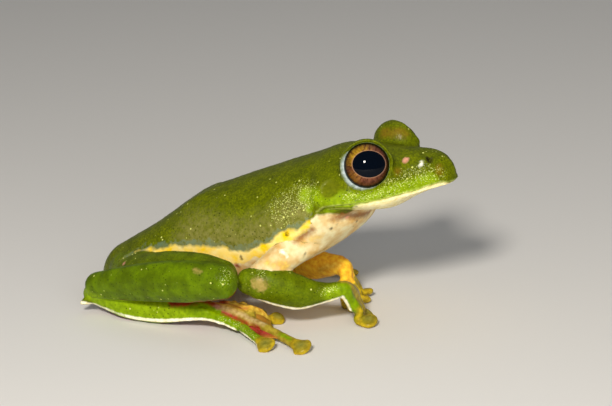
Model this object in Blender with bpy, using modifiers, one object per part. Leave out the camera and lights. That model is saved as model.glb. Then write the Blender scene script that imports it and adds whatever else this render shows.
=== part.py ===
"""A Malabar gliding frog at rest, life size, with folded limbs, digits with discs, and webs.

Lengths in the tables are millimetres. +X is forward, +Y is the frog's left, +Z is up
and Z = 0 is the floor.
"""

import math

import bmesh
import bpy
from mathutils import Matrix, Vector

MM = 0.001
GAP = 0.3  # clearance kept between neighbouring pieces
X_AXIS = Vector((1, 0, 0))
Y_AXIS = Vector((0, 1, 0))
Z_AXIS = Vector((0, 0, 1))

# Torso: x, top, height of the widest line, bottom, half width
TORSO_STATIONS = [
    (-41.0, 4.6, 3.9, 3.3, 0.9),
    (-40.2, 6.6, 4.6, 2.4, 2.2),
    (-38.6, 8.7, 5.2, 1.8, 3.9),
    (-35.0, 11.0, 6.2, 1.5, 5.9),
    (-29.0, 14.8, 8.2, 1.9, 7.6),
    (-20.8, 20.7, 10.8, 3.0, 9.3),
    (-13.7, 23.8, 12.8, 4.2, 10.6),
    (-6.0, 26.7, 15.4, 6.4, 11.6),
    (1.0, 29.2, 18.6, 9.8, 12.0),
    (6.5, 30.9, 21.2, 13.2, 11.3),
    (10.3, 30.0, 22.0, 16.1, 8.8),
    (12.3, 27.4, 22.4, 18.1, 5.6),
    (13.4, 25.0, 22.6, 20.0, 2.8),
]
TORSO_BOXINESS = 2.15

# Head, in its own frame: +X runs along the mouth, +Z is up
HEAD_ORIGIN = Vector((8.0, 0.0, 23.6))
HEAD_PITCH = 7.0
HEAD_YAW = -3.0
HEAD_ROLL = -2.0
# x, top, bottom, half width at the lip, share of that width lost at the crown
HEAD_STATIONS = [
    (-7.0, 4.6, -1.0, 7.5, 0.30),
    (-3.6, 7.0, -2.6, 11.0, 0.32),
    (0.0, 8.0, -2.5, 12.5, 0.36),
    (3.5, 8.0, -2.7, 12.6, 0.42),
    (7.0, 7.5, -3.1, 11.9, 0.46),
    (10.5, 7.0, -3.1, 10.2, 0.46),
    (14.0, 6.6, -2.3, 8.2, 0.42),
    (17.2, 6.1, -0.9, 6.0, 0.36),
    (19.2, 5.2, -0.2, 4.1, 0.34),
    (20.4, 4.0, 0.0, 2.4, 0.34),
    (21.0, 2.7, 0.1, 1.1, 0.30),
]
HEAD_WIDEST = 0.3
HEAD_BOXINESS = 2.5
NECK_CUT_X = -2.3
MOUTH_TIP = Vector((20.0, 0.0, 0.55))
MOUTH_TILT = 3.9

EYE_CENTRE = Vector((7.6, 8.0, 5.6))  # head frame, left eye
EYE_AXIS = Vector((0.36, 0.90, 0.22)).normalized()
EYE_RADIUS = 4.1
EYE_FRONT_SHARE = 0.9  # depth of the front half over the radius
EYE_BACK_SHARE = 0.7
EYE_GAP = 0.2
LID_THICKNESS = 0.4
LID_RIM_DISTANCE = 0.9
NOSTRIL_CENTRE = Vector((17.0, 2.7, 4.7))
NOSTRIL_RADIUS = 0.45
TYMPANUM_CENTRE = Vector((0.8, 11.5, 2.4))
TYMPANUM_RADIUS = 1.85
TYMPANUM_THICKNESS = 0.6
EAR_DEPTH = 1.3  # of the ear's pocket below the head's side

RIGHT = -1
LEFT = 1
SIDE_NAMES = {RIGHT: "right", LEFT: "left"}

# Limbs: x, y, z, half width, half height, and a roll in degrees where the section leans
UPPER_ARM = {
    RIGHT: [
        (4.4, -7.0, 16.2, 2.5, 2.7),
        (1.2, -10.0, 14.4, 2.6, 2.8),
        (-2.6, -12.6, 11.7, 2.3, 2.6),
        (-5.2, -13.9, 9.9, 2.0, 2.2),
    ],
    LEFT: [
        (4.0, 7.6, 15.4, 2.7, 2.9),
        (0.6, 9.8, 12.4, 2.6, 2.7),
        (-2.8, 10.2, 8.4, 2.3, 2.4),
        (-5.4, 9.6, 5.0, 2.0, 2.1),
    ],
}
FOREARM = {
    RIGHT: [
        (-6.4, -15.0, 9.4, 2.1, 2.4),
        (-4.6, -14.6, 9.1, 2.6, 3.0),
        (-2.0, -13.7, 8.6, 2.8, 3.2),
        (1.0, -12.6, 7.6, 2.7, 3.1),
        (4.0, -11.4, 6.8, 2.2, 2.5),
        (6.8, -10.5, 6.9, 1.6, 1.7),
        (9.2, -9.8, 7.3, 1.4, 1.4),
    ],
    LEFT: [
        (-6.2, 9.4, 4.3, 2.1, 2.2),
        (-3.6, 8.4, 5.0, 2.5, 2.7),
        (-0.4, 6.8, 5.8, 2.5, 2.7),
        (2.4, 5.5, 6.4, 2.1, 2.2),
        (4.6, 4.8, 6.8, 1.7, 1.8),
    ],
}
PALM = {
    RIGHT: [(9.9, -9.3, 7.3, 1.5, 1.5), (10.5, -8.0, 5.9, 2.1, 1.2), (10.8, -6.8, 4.5, 2.5, 0.95)],
    LEFT: [(5.4, 4.5, 6.7, 1.6, 1.6), (6.1, 4.0, 5.3, 2.1, 1.2), (6.5, 3.5, 4.0, 2.4, 0.95)],
}
# Digits: base, knuckle and disc centre on the floor, inner digit first
FINGERS = {
    RIGHT: [
        ((9.5, -4.6, 4.6), (8.9, -3.4, 2.4), (8.6, -0.8)),
        ((10.4, -5.2, 4.2), (10.5, -4.1, 2.1), (10.8, -2.0)),
        ((11.3, -6.4, 4.1), (11.8, -5.6, 2.2), (12.5, -4.2)),
        ((11.2, -8.0, 4.6), (12.2, -7.8, 2.4), (14.0, -7.9)),
    ],
    LEFT: [
        ((5.6, 1.9, 4.1), (6.2, 1.5, 2.1), (7.0, 0.2)),
        ((6.6, 2.5, 3.7), (7.4, 2.3, 1.9), (8.7, 2.0)),
        ((7.4, 3.5, 3.6), (8.3, 3.6, 1.9), (9.6, 3.9)),
        ((6.9, 5.0, 4.0), (7.6, 5.8, 2.1), (8.6, 7.2)),
    ],
}
FINGER_DISC = [1.0, 1.2, 1.4, 1.85]

THIGH = {
    RIGHT: [
        (-34.5, -3.4, 5.8, 3.7, 3.7),
        (-28.5, -9.0, 6.9, 4.0, 4.1),
        (-21.5, -13.0, 9.0, 3.7, 4.2),
        (-14.5, -16.2, 10.5, 3.2, 3.8),
        (-9.8, -18.2, 11.1, 2.6, 3.0),
    ],
    LEFT: [
        (-35.0, 3.4, 5.8, 3.7, 3.7),
        (-30.0, 8.8, 6.6, 4.0, 4.0),
        (-23.6, 12.6, 8.3, 3.7, 4.0),
        (-17.4, 15.6, 9.5, 3.2, 3.6),
        (-13.2, 17.4, 10.0, 2.6, 3.0),
    ],
}
SHANK = {
    RIGHT: [
        (-9.0, -20.9, 11.0, 2.8, 3.2),
        (-15.2, -19.8, 10.3, 3.2, 3.8),
        (-23.0, -17.8, 9.0, 3.1, 3.7),
        (-31.0, -15.2, 7.1, 2.6, 3.1),
        (-37.0, -13.0, 5.5, 2.2, 2.5),
    ],
    LEFT: [
        (-12.4, 20.0, 9.9, 2.8, 3.2),
        (-18.4, 19.0, 9.4, 3.2, 3.7),
        (-25.6, 17.2, 8.3, 3.1, 3.6),
        (-32.6, 14.8, 6.8, 2.6, 3.0),
        (-37.8, 12.8, 5.5, 2.2, 2.5),
    ],
}
TARSUS = {
    RIGHT: [
        (-38.4, -12.2, 3.7, 1.7, 1.8),
        (-33.5, -13.2, 2.9, 1.9, 2.3),
        (-28.5, -14.3, 2.35, 2.0, 2.4),
        (-23.5, -14.9, 2.5, 1.9, 2.5),
        (-18.0, -15.3, 3.15, 1.9, 2.05),
        (-13.8, -15.4, 3.4, 2.0, 1.5, 12.0),
    ],
    LEFT: [
        (-38.8, 11.8, 3.7, 1.7, 1.8),
        (-34.2, 12.8, 2.9, 1.9, 2.3),
        (-29.4, 13.8, 2.35, 2.0, 2.4),
        (-24.8, 14.4, 2.5, 1.9, 2.5),
        (-20.0, 14.9, 3.15, 1.9, 2.05),
        (-16.2, 15.0, 3.4, 2.0, 1.5, -12.0),
    ],
}
SOLE = {
    RIGHT: [
        (-13.0, -15.5, 3.4, 2.0, 1.35, 20.0),
        (-10.0, -15.7, 3.2, 2.6, 1.15, 33.0),
        (-7.4, -16.0, 2.5, 2.9, 0.95, 29.0),
    ],
    LEFT: [
        (-15.4, 15.1, 3.4, 2.0, 1.35, -20.0),
        (-12.5, 15.3, 3.2, 2.6, 1.15, -33.0),
        (-10.0, 15.6, 2.5, 2.9, 0.95, -29.0),
    ],
}
TOES = {
    RIGHT: [
        ((-10.0, -13.2, 4.0), (-10.0, -11.3, 2.0), (-9.8, -9.0)),
        ((-8.3, -13.2, 3.9), (-7.8, -10.6, 2.1), (-6.9, -7.6)),
        ((-6.5, -14.0, 3.5), (-5.1, -12.4, 2.3), (-2.8, -10.0)),
        ((-5.6, -16.1, 2.2), (-0.6, -18.8, 1.5), (6.4, -23.4)),
        ((-6.4, -18.2, 1.5), (-3.6, -20.9, 1.2), (-0.1, -23.9)),
    ],
    LEFT: [
        ((-12.6, 12.8, 4.0), (-12.6, 10.9, 2.0), (-12.4, 8.6)),
        ((-10.9, 12.8, 3.9), (-10.4, 10.2, 2.1), (-9.4, 7.2)),
        ((-9.1, 13.6, 3.5), (-7.7, 12.0, 2.3), (-5.4, 9.6)),
        ((-8.2, 15.7, 2.2), (-3.8, 17.0, 1.5), (2.4, 18.0)),
        ((-9.0, 17.8, 1.5), (-6.3, 20.1, 1.2), (-3.0, 22.2)),
    ],
}
TOE_DISC = [1.1, 1.3, 1.55, 1.9, 1.8]
FINGER_HALF_WIDTH = [0.65, 0.7, 0.75, 1.0]
TOE_HALF_WIDTH = [0.65, 0.75, 0.8, 0.85, 0.85]
DIGIT_HALF_HEIGHT = 0.75
DISC_HALF_HEIGHT = 0.8
DISC_TILT = {"finger": 29.0, "toe": 27.0}
FLOOR_TRIM = 0.25  # depth of the flat that the floor cuts under each disc

WEB_THICKNESS = 0.55
WEB_SHARE = {"finger": 0.62, "toe": 0.80}
WEB_SCALLOP = 0.30

# Skin fringes along the outer edges of forearm and tarsus, and the pointed flap at the heel
ARM_FRINGE = {
    RIGHT: [
        (-4.2, -15.4, 6.6, 0.3, 0.5),
        (-1.2, -14.6, 5.7, 0.34, 0.8),
        (2.4, -13.2, 4.75, 0.34, 0.75),
        (6.0, -11.5, 5.3, 0.3, 0.6),
        (9.0, -10.5, 6.1, 0.3, 0.5),
    ],
    LEFT: [
        (-3.8, 10.2, 3.0, 0.3, 0.5),
        (-0.6, 8.7, 3.4, 0.34, 0.8),
        (2.4, 7.0, 4.6, 0.34, 0.7),
        (4.4, 6.1, 5.4, 0.3, 0.5),
    ],
}
TARSUS_FRINGE = {
    RIGHT: [
        (-36.6, -13.4, 2.3, 0.4, 0.6),
        (-31.0, -15.4, 1.4, 0.35, 0.8),
        (-24.0, -16.5, 1.4, 0.35, 0.8),
        (-17.0, -17.0, 2.2, 0.3, 0.6),
    ],
    LEFT: [
        (-37.0, 13.0, 2.3, 0.4, 0.6),
        (-31.8, 14.9, 1.4, 0.35, 0.8),
        (-25.2, 15.9, 1.4, 0.35, 0.8),
        (-19.0, 16.5, 2.2, 0.3, 0.6),
    ],
}
CALCAR = {
    RIGHT: [(-37.4, -13.0, 3.0, 1.0, 1.0), (-39.2, -13.8, 2.5, 0.6, 0.7), (-40.6, -14.3, 2.2, 0.3, 0.35)],
    LEFT: [(-37.8, 12.6, 3.0, 1.0, 1.0), (-39.6, 13.3, 2.5, 0.6, 0.7), (-41.0, 13.8, 2.2, 0.3, 0.35)],
}

LIMB_SIDES = 12
DIGIT_SIDES = 8
BODY_SIDES = 24
BALL_SEGMENTS = 20
CAP_ANGLES = (35, 65)  # rings that round a limb's end, in degrees from its last section
DIGIT_CAP_ANGLES = (45,)
CAP_REACH = 0.8  # least length of a rounded end over the half width


def clear_scene():
    for obj in list(bpy.data.objects):
        bpy.data.objects.remove(obj)


def collection(name, hidden=False):
    made = bpy.data.collections.new(name)
    bpy.context.scene.collection.children.link(made)
    made.hide_render = hidden
    return made


def material(name, colour, roughness, metallic=0.0):
    made = bpy.data.materials.new(name)
    made.use_nodes = True
    shader = made.node_tree.nodes["Principled BSDF"]
    shader.inputs["Base Color"].default_value = (*colour, 1.0)
    shader.inputs["Roughness"].default_value = roughness
    shader.inputs["Metallic"].default_value = metallic
    made.diffuse_color = (*colour, 1.0)
    return made


def mesh_object(name, bm, home):
    """Writes a bmesh in millimetres to a new object in metres."""
    bmesh.ops.recalc_face_normals(bm, faces=bm.faces)
    bmesh.ops.scale(bm, vec=(MM, MM, MM), verts=bm.verts)
    mesh = bpy.data.meshes.new(name)
    bm.to_mesh(mesh)
    bm.free()
    obj = bpy.data.objects.new(name, mesh)
    home.objects.link(obj)
    return obj


def smooth_rows(rows, per_span):
    """Catmull-Rom interpolation of rows of numbers, with the given number of steps in each span."""
    first = [2 * a - b for a, b in zip(rows[0], rows[1])]
    last = [2 * a - b for a, b in zip(rows[-1], rows[-2])]
    padded = [first, *rows, last]
    made = []
    for i in range(1, len(padded) - 2):
        for step in range(per_span):
            made.append([curve_value(step / per_span, *four) for four in zip(*padded[i - 1 : i + 3])])
    made.append(list(rows[-1]))
    return made


def curve_value(t, before, start, end, after):
    square = 2 * before - 5 * start + 4 * end - after
    cube = 3 * start - before - 3 * end + after
    return 0.5 * (2 * start + (end - before) * t + square * t**2 + cube * t**3)


def signed_power(value, power):
    return math.copysign(abs(value) ** power, value)


def ring(centre, side, up, half_width, rise, drop, boxiness=2.0, taper=0.0, count=LIMB_SIDES):
    """Points of a superellipse whose upper half can be drawn in towards its top."""
    points = []
    for i in range(count):
        angle = 2 * math.pi * (i + 0.5) / count
        across = signed_power(math.cos(angle), 2 / boxiness)
        above = signed_power(math.sin(angle), 2 / boxiness)
        narrowed = half_width * (1 - taper * max(above, 0.0))
        points.append(centre + side * across * narrowed + up * above * (rise if above > 0 else drop))
    return points


def loft(name, rings, home, start_tip=None, end_tip=None):
    """A closed skin over rings of equal count, each end closed by a fan to its tip."""
    bm = bmesh.new()
    loops = [[bm.verts.new(p) for p in points] for points in rings]
    count = len(loops[0])
    for near, far in zip(loops, loops[1:]):
        for i in range(count):
            j = (i + 1) % count
            bm.faces.new((near[i], near[j], far[j], far[i]))
    for loop, tip in ((loops[0], start_tip), (loops[-1], end_tip)):
        middle = bm.verts.new(tip or sum((v.co for v in loop), Vector()) / count)
        for i in range(count):
            bm.faces.new((loop[i], loop[(i + 1) % count], middle))
    return mesh_object(name, bm, home)


def limb(name, stations, home, grow=0.0, sides=LIMB_SIDES, per_span=2, facing=Z_AXIS, caps=CAP_ANGLES):
    """A limb through stations of (x, y, z, half width, half height, roll), with rounded ends.

    caps holds the angles, in degrees, of the rings that round its start.
    """
    rows = smooth_rows([(*row, 0.0)[:6] for row in stations], per_span)
    centres = [Vector(row[:3]) for row in rows]
    sections = []
    side = None
    for i, centre in enumerate(centres):
        along = (centres[min(i + 1, len(centres) - 1)] - centres[max(i - 1, 0)]).normalized()
        side = along.cross(facing) if side is None else side - along * side.dot(along)
        side.normalize()
        lean = Matrix.Rotation(math.radians(rows[i][5]), 3, along)
        across = lean @ side
        up = across.cross(along)
        sections.append((centre, along, across, up, rows[i][3] + grow, rows[i][4] + grow))
    rings = []
    for centre, _, across, up, wide, high in sections:
        rings.append(ring(centre, across, up, wide, high, high, count=sides))
    tips = []
    for sign, section, angles in ((-1, sections[0], caps), (1, sections[-1], CAP_ANGLES)):
        centre, along, across, up, wide, high = section
        reach = max(min(wide, high), CAP_REACH * wide)
        for angle in map(math.radians, angles):
            middle = centre + along * sign * reach * math.sin(angle)
            low_wide, low_high = wide * math.cos(angle), high * math.cos(angle)
            cap = ring(middle, across, up, low_wide, low_high, low_high, count=sides)
            rings.insert(0 if sign < 0 else len(rings), cap)
        tips.append(centre + along * sign * reach)
    return loft(name, rings, home, *tips)


def torso_form(name, home, grow=0.0):
    rings = []
    for x, top, widest, bottom, half in smooth_rows(TORSO_STATIONS, 2):
        sizes = (half + grow, top - widest + grow, widest - bottom + grow)
        rings.append(ring(Vector((x, 0, widest)), Y_AXIS, Z_AXIS, *sizes, TORSO_BOXINESS, 0.0, BODY_SIDES))
    start = Vector((TORSO_STATIONS[0][0] - 0.3 - grow, 0, TORSO_STATIONS[0][2]))
    end = Vector((TORSO_STATIONS[-1][0] + 0.6 + grow, 0, TORSO_STATIONS[-1][2]))
    return loft(name, rings, home, start, end)


def head_matrix():
    yaw = Matrix.Rotation(math.radians(HEAD_YAW), 4, "Z")
    pitch = Matrix.Rotation(math.radians(-HEAD_PITCH), 4, "Y")
    roll = Matrix.Rotation(math.radians(HEAD_ROLL), 4, "X")
    return Matrix.Translation(HEAD_ORIGIN) @ yaw @ pitch @ roll


def head_form(name, home):
    place = head_matrix()
    rings = []
    for x, top, bottom, half, taper in smooth_rows(HEAD_STATIONS, 2):
        middle = Vector((x, 0, HEAD_WIDEST))
        sizes = (half, top - HEAD_WIDEST, HEAD_WIDEST - bottom)
        points = ring(middle, Y_AXIS, Z_AXIS, *sizes, HEAD_BOXINESS, taper, BODY_SIDES)
        rings.append([place @ p for p in points])
    tip = place @ Vector((HEAD_STATIONS[-1][0] + 0.15, 0, 1.2))
    return loft(name, rings, home, None, tip)


def ball(name, centre, radius, home, axis=Z_AXIS, front=1.0, back=1.0, segments=BALL_SEGMENTS):
    """A ball whose halves before and behind its middle can be flattened along the axis."""
    bm = bmesh.new()
    bmesh.ops.create_uvsphere(bm, u_segments=segments, v_segments=segments // 2, radius=radius)
    for vert in bm.verts:
        vert.co.z *= front if vert.co.z > 0 else back
    turn = Z_AXIS.rotation_difference(axis).to_matrix().to_4x4()
    bmesh.ops.transform(bm, matrix=Matrix.Translation(centre) @ turn, verts=bm.verts)
    return mesh_object(name, bm, home)


def rod(name, start, end, radius, home, end_radius=None, segments=BALL_SEGMENTS):
    """A cylinder from start to end, or a cone frustum where end_radius is given."""
    bm = bmesh.new()
    run = end - start
    far = radius if end_radius is None else end_radius
    sizes = {"radius1": radius, "radius2": far, "depth": run.length}
    bmesh.ops.create_cone(bm, cap_ends=True, segments=segments, **sizes)
    turn = Z_AXIS.rotation_difference(run).to_matrix().to_4x4()
    bmesh.ops.transform(bm, matrix=Matrix.Translation((start + end) / 2) @ turn, verts=bm.verts)
    return mesh_object(name, bm, home)


def block(name, low, high, home, place=Matrix.Identity(4)):
    bm = bmesh.new()
    bmesh.ops.create_cube(bm, size=1.0)
    low, high = Vector(low), Vector(high)
    size = Matrix.Diagonal((*(high - low), 1.0))
    bmesh.ops.transform(bm, matrix=place @ Matrix.Translation((low + high) / 2) @ size, verts=bm.verts)
    return mesh_object(name, bm, home)


def floor_block(home):
    return block("floor", (-90, -60, -20), (60, 60, 0), home)


def path_at(path, share):
    """The point at that share of a path's length."""
    lengths = [(b - a).length for a, b in zip(path, path[1:])]
    target = share * sum(lengths)
    for a, b, length in zip(path, path[1:], lengths):
        if target <= length:
            return a.lerp(b, target / length)
        target -= length
    return path[-1].copy()


def web(name, path_a, path_b, share, home, rows=4, columns=3):
    """A membrane between two digits, with a hollow free edge, as a thickened open sheet."""
    bm = bmesh.new()
    grid = []
    for i in range(rows + 1):
        line = []
        for j in range(columns + 1):
            across = j / columns
            reach = share * (1 - WEB_SCALLOP * math.sin(math.pi * across)) * i / rows
            point = path_at(path_a, reach).lerp(path_at(path_b, reach), across)
            line.append(bm.verts.new(point))
        grid.append(line)
    for near, far in zip(grid, grid[1:]):
        for j in range(columns):
            bm.faces.new((near[j], near[j + 1], far[j + 1]))
            bm.faces.new((near[j], far[j + 1], far[j]))
    made = mesh_object(name, bm, home)
    thick = made.modifiers.new("Thickness", "SOLIDIFY")
    thick.thickness = WEB_THICKNESS * MM
    thick.offset = 0.0
    apply_modifiers(made)
    return made


def apply_modifiers(obj):
    graph = bpy.context.evaluated_depsgraph_get()
    done = bpy.data.meshes.new_from_object(obj.evaluated_get(graph))
    obj.modifiers.clear()
    obj.data = done


def combine(target, others, operation):
    """Joins others to target, or cuts them from it, in one Boolean, and removes them."""
    helpers = bpy.data.collections.new("helpers")
    bpy.context.scene.collection.children.link(helpers)
    for other in others:
        for home in list(other.users_collection):
            home.objects.unlink(other)
        helpers.objects.link(other)
    tool = target.modifiers.new("Join", "BOOLEAN")
    tool.operation = operation
    tool.operand_type = "COLLECTION"
    tool.collection = helpers
    tool.solver = "EXACT"
    bpy.context.view_layer.update()
    apply_modifiers(target)
    for other in list(helpers.objects):
        bpy.data.objects.remove(other)
    bpy.data.collections.remove(helpers)
    return target


def islands(bm):
    """The faces of each separate closed surface."""
    unseen = set(bm.faces)
    found = []
    while unseen:
        stack = [unseen.pop()]
        group = list(stack)
        while stack:
            for edge in stack.pop().edges:
                for face in edge.link_faces:
                    if face in unseen:
                        unseen.discard(face)
                        stack.append(face)
                        group.append(face)
        found.append(group)
    return found


def keep_island(obj, score):
    """Keeps only the closed surface with the highest score, a function of its faces."""
    bm = bmesh.new()
    bm.from_mesh(obj.data)
    groups = islands(bm)
    best = max(groups, key=score)
    extra = [face for group in groups if group is not best for face in group]
    bmesh.ops.delete(bm, geom=extra, context="FACES")
    bm.to_mesh(obj.data)
    bm.free()


def spread(faces):
    points = [v.co for face in faces for v in face.verts]
    return max((max(p[i] for p in points) - min(p[i] for p in points)) for i in range(3))


def mean_of(faces, axis):
    return sum(face.calc_center_median()[axis] for face in faces) / len(faces)


def finish_node(obj, name, skin, home):
    keep_island(obj, spread)
    obj.name = name
    obj.data.name = name
    obj.data.materials.clear()
    obj.data.materials.append(skin)
    obj.data.shade_smooth()
    obj.data.set_sharp_from_angle(angle=math.radians(50))
    for old in list(obj.users_collection):
        old.objects.unlink(obj)
    home.objects.link(obj)


def copy_of(obj, name, home):
    made = obj.copy()
    made.data = obj.data.copy()
    made.name = name
    home.objects.link(made)
    return made


def eye_place(side):
    """The centre and outward axis of one eye."""
    place = head_matrix()
    centre = place @ Vector((EYE_CENTRE.x, EYE_CENTRE.y * side, EYE_CENTRE.z))
    axis = place.to_3x3() @ Vector((EYE_AXIS.x, EYE_AXIS.y * side, EYE_AXIS.z))
    return centre, axis


def eye_ball(name, side, radius, home):
    centre, axis = eye_place(side)
    return ball(name, centre, radius, home, axis, EYE_FRONT_SHARE, EYE_BACK_SHARE)


def build_body(work, parts, skins):
    """Head, lower jaw and torso, cut from one form by thin slabs, with sockets for the eyes and ears."""
    place = head_matrix()
    body = torso_form("body_form", work)
    lids = [eye_ball("lid", side, EYE_RADIUS + GAP + LID_THICKNESS, work) for side in (RIGHT, LEFT)]
    combine(body, [head_form("head_form", work), *lids], "UNION")

    half_gap = GAP / 2
    low, high = (NECK_CUT_X - half_gap, -30, -30), (NECK_CUT_X + half_gap, 30, 30)
    neck = block("neck_cut", low, high, work, place)
    tilt = Matrix.Rotation(math.radians(-MOUTH_TILT), 4, "Y")
    mouth_place = place @ Matrix.Translation(MOUTH_TIP) @ tilt
    mouth_back = NECK_CUT_X - MOUTH_TIP.x - 0.1
    mouth = block("mouth_cut", (mouth_back, -30, -half_gap), (20, 30, half_gap), work, mouth_place)
    combine(body, [neck, mouth], "DIFFERENCE")

    torso = copy_of(body, "torso", work)
    jaw = copy_of(body, "lower_jaw", work)
    head = body
    keep_island(torso, spread)
    keep_island(jaw, lambda faces: -mean_of(faces, 2) if mean_of(faces, 0) > 0.008 else -1)
    keep_island(head, lambda faces: mean_of(faces, 2))

    cutters = []
    for side in (RIGHT, LEFT):
        label = SIDE_NAMES[side]
        centre, axis = eye_place(side)
        rim = centre + axis * LID_RIM_DISTANCE
        cutters.append(eye_ball("socket", side, EYE_RADIUS + GAP, work))
        cutters.append(rod("opening", rim, rim + axis * 8, EYE_RADIUS + GAP + LID_THICKNESS + 0.1, work))
        nostril = place @ Vector((NOSTRIL_CENTRE.x, NOSTRIL_CENTRE.y * side, NOSTRIL_CENTRE.z))
        cutters.append(ball("nostril", nostril, NOSTRIL_RADIUS, work, segments=12))
        ear = place @ Vector((TYMPANUM_CENTRE.x, TYMPANUM_CENTRE.y * side, TYMPANUM_CENTRE.z))
        outward = place.to_3x3() @ Vector((-0.05, side * 0.93, 0.36)).normalized()
        floor = ear - outward * EAR_DEPTH
        cutters.append(rod("ear_pocket", floor, ear + outward * 4, TYMPANUM_RADIUS + GAP, work))
        eye = eye_ball(f"eye_{label}", side, EYE_RADIUS, work)
        finish_node(eye, f"eye_{label}", skins["eye"], parts)
        base = floor + outward * GAP
        top = base + outward * TYMPANUM_THICKNESS
        drum = rod("drum", base, top, TYMPANUM_RADIUS, work, TYMPANUM_RADIUS - 0.25)
        finish_node(drum, f"tympanum_{label}", skins["green"], parts)
    combine(head, cutters, "DIFFERENCE")
    finish_node(head, "head", skins["green"], parts)
    finish_node(jaw, "lower_jaw", skins["cream"], parts)
    finish_node(torso, "torso", skins["green"], parts)


def digit_stations(row, disc_half, half_width, tilt):
    """A digit from its base over its knuckle to a leaning disc on the floor."""
    base, knuckle = Vector(row[0]), Vector(row[1])
    lean = math.radians(tilt)
    height = math.hypot(disc_half * math.sin(lean), DISC_HALF_HEIGHT * math.cos(lean)) - FLOOR_TRIM
    centre = Vector((*row[2], height))
    back = (knuckle - centre) * Vector((1, 1, 0))
    neck = centre + back.normalized() * disc_half * 1.15 + Z_AXIS * 0.2
    return [
        (*base, half_width * 1.1, DIGIT_HALF_HEIGHT * 1.1, tilt * 0.3),
        (*knuckle, half_width, DIGIT_HALF_HEIGHT, tilt * 0.5),
        (*neck, half_width, DISC_HALF_HEIGHT * 0.85, tilt * 0.8),
        (*centre, disc_half, DISC_HALF_HEIGHT, tilt),
    ]


def build_digits(kind, side, sizes, roots, work, parts, skin):
    """All digits of one hand or foot, each with the web on its outer side, up to the next digit."""
    tilt = DISC_TILT[kind] * -side
    stations = [digit_stations(*values, tilt) for values in zip(*sizes)]
    paths = [[Vector(s[:3]) for s in row] for row in stations]
    for i, row in enumerate(stations):
        digit = limb("digit", row, work, sides=DIGIT_SIDES, caps=DIGIT_CAP_ANGLES)
        cutters = [root(GAP) for root in roots]
        if i + 1 < len(stations):
            membrane = web("membrane", paths[i], paths[i + 1], WEB_SHARE[kind], work)
            combine(digit, [membrane], "UNION")
            options = {"sides": DIGIT_SIDES, "caps": DIGIT_CAP_ANGLES}
            cutters.append(limb("next_digit", stations[i + 1], work, GAP, **options))
        cutters.append(floor_block(work))
        combine(digit, cutters, "DIFFERENCE")
        finish_node(digit, f"{kind}_{i + 1}_{SIDE_NAMES[side]}", skin, parts)


def limb_maker(stations, work, **options):
    """A function that makes the same limb again, grown by the given clearance."""
    return lambda grow: limb("limb", stations, work, grow, **options)


def build_arm(side, work, parts, skins):
    label = SIDE_NAMES[side]
    upper_form = limb_maker(UPPER_ARM[side], work)
    forearm_form = limb_maker(FOREARM[side], work)
    palm_form = limb_maker(PALM[side], work, facing=X_AXIS)

    upper_arm = upper_form(0.0)
    combine(upper_arm, [forearm_form(GAP), torso_form("torso_cut", work, GAP)], "DIFFERENCE")
    finish_node(upper_arm, f"upper_arm_{label}", skins["cream"], parts)

    forearm = forearm_form(0.0)
    combine(forearm, [limb("fringe", ARM_FRINGE[side], work, sides=6)], "UNION")
    combine(forearm, [torso_form("torso_cut", work, GAP)], "DIFFERENCE")
    finish_node(forearm, f"forearm_{label}", skins["green"], parts)

    palm = palm_form(0.0)
    combine(palm, [forearm_form(GAP)], "DIFFERENCE")
    finish_node(palm, f"palm_{label}", skins["green"], parts)
    roots = [palm_form, forearm_form]
    sizes = (FINGERS[side], FINGER_DISC, FINGER_HALF_WIDTH)
    build_digits("finger", side, sizes, roots, work, parts, skins["web"])


def build_leg(side, work, parts, skins):
    label = SIDE_NAMES[side]
    thigh_form = limb_maker(THIGH[side], work)
    shank_form = limb_maker(SHANK[side], work)
    tarsus_form = limb_maker(TARSUS[side], work)
    sole_form = limb_maker(SOLE[side], work)

    thigh = thigh_form(0.0)
    combine(thigh, [torso_form("torso_cut", work, GAP)], "DIFFERENCE")
    finish_node(thigh, f"thigh_{label}", skins["green"], parts)

    shank = shank_form(0.0)
    combine(shank, [thigh_form(GAP), torso_form("torso_cut", work, GAP)], "DIFFERENCE")
    finish_node(shank, f"shank_{label}", skins["green"], parts)

    tarsus = tarsus_form(0.0)
    calcar = limb("calcar", CALCAR[side], work, sides=6, per_span=1)
    fringe = limb("fringe", TARSUS_FRINGE[side], work, sides=6)
    combine(tarsus, [calcar, fringe], "UNION")
    neighbours = [shank_form(GAP), thigh_form(GAP), torso_form("torso_cut", work, GAP)]
    combine(tarsus, [*neighbours, floor_block(work)], "DIFFERENCE")
    finish_node(tarsus, f"tarsus_{label}", skins["green"], parts)

    sole = sole_form(0.0)
    combine(sole, [tarsus_form(GAP), floor_block(work)], "DIFFERENCE")
    finish_node(sole, f"sole_{label}", skins["web"], parts)
    roots = [sole_form, tarsus_form]
    sizes = (TOES[side], TOE_DISC, TOE_HALF_WIDTH)
    build_digits("toe", side, sizes, roots, work, parts, skins["web"])


def centre_on_floor(parts):
    """Moves the frog along the floor until its box is centred on the origin."""
    points = [vert.co for obj in parts.objects for vert in obj.data.vertices]
    shift = Vector((0, 0, 0))
    for i in (0, 1):
        values = [p[i] for p in points]
        shift[i] = -(min(values) + max(values)) / 2
    for obj in parts.objects:
        obj.data.transform(Matrix.Translation(shift))


def main():
    clear_scene()
    work = collection("work", hidden=True)
    parts = collection("malabar_gliding_frog")
    skins = {
        "green": material("green skin", (0.12, 0.24, 0.01), 0.35),
        "cream": material("cream skin", (0.75, 0.55, 0.25), 0.35),
        "web": material("web skin", (0.55, 0.38, 0.03), 0.30),
        "eye": material("eye", (0.02, 0.01, 0.008), 0.05),
    }
    build_body(work, parts, skins)
    for side in (RIGHT, LEFT):
        build_arm(side, work, parts, skins)
        build_leg(side, work, parts, skins)
    centre_on_floor(parts)
    bpy.data.collections.remove(work)


main()
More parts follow.
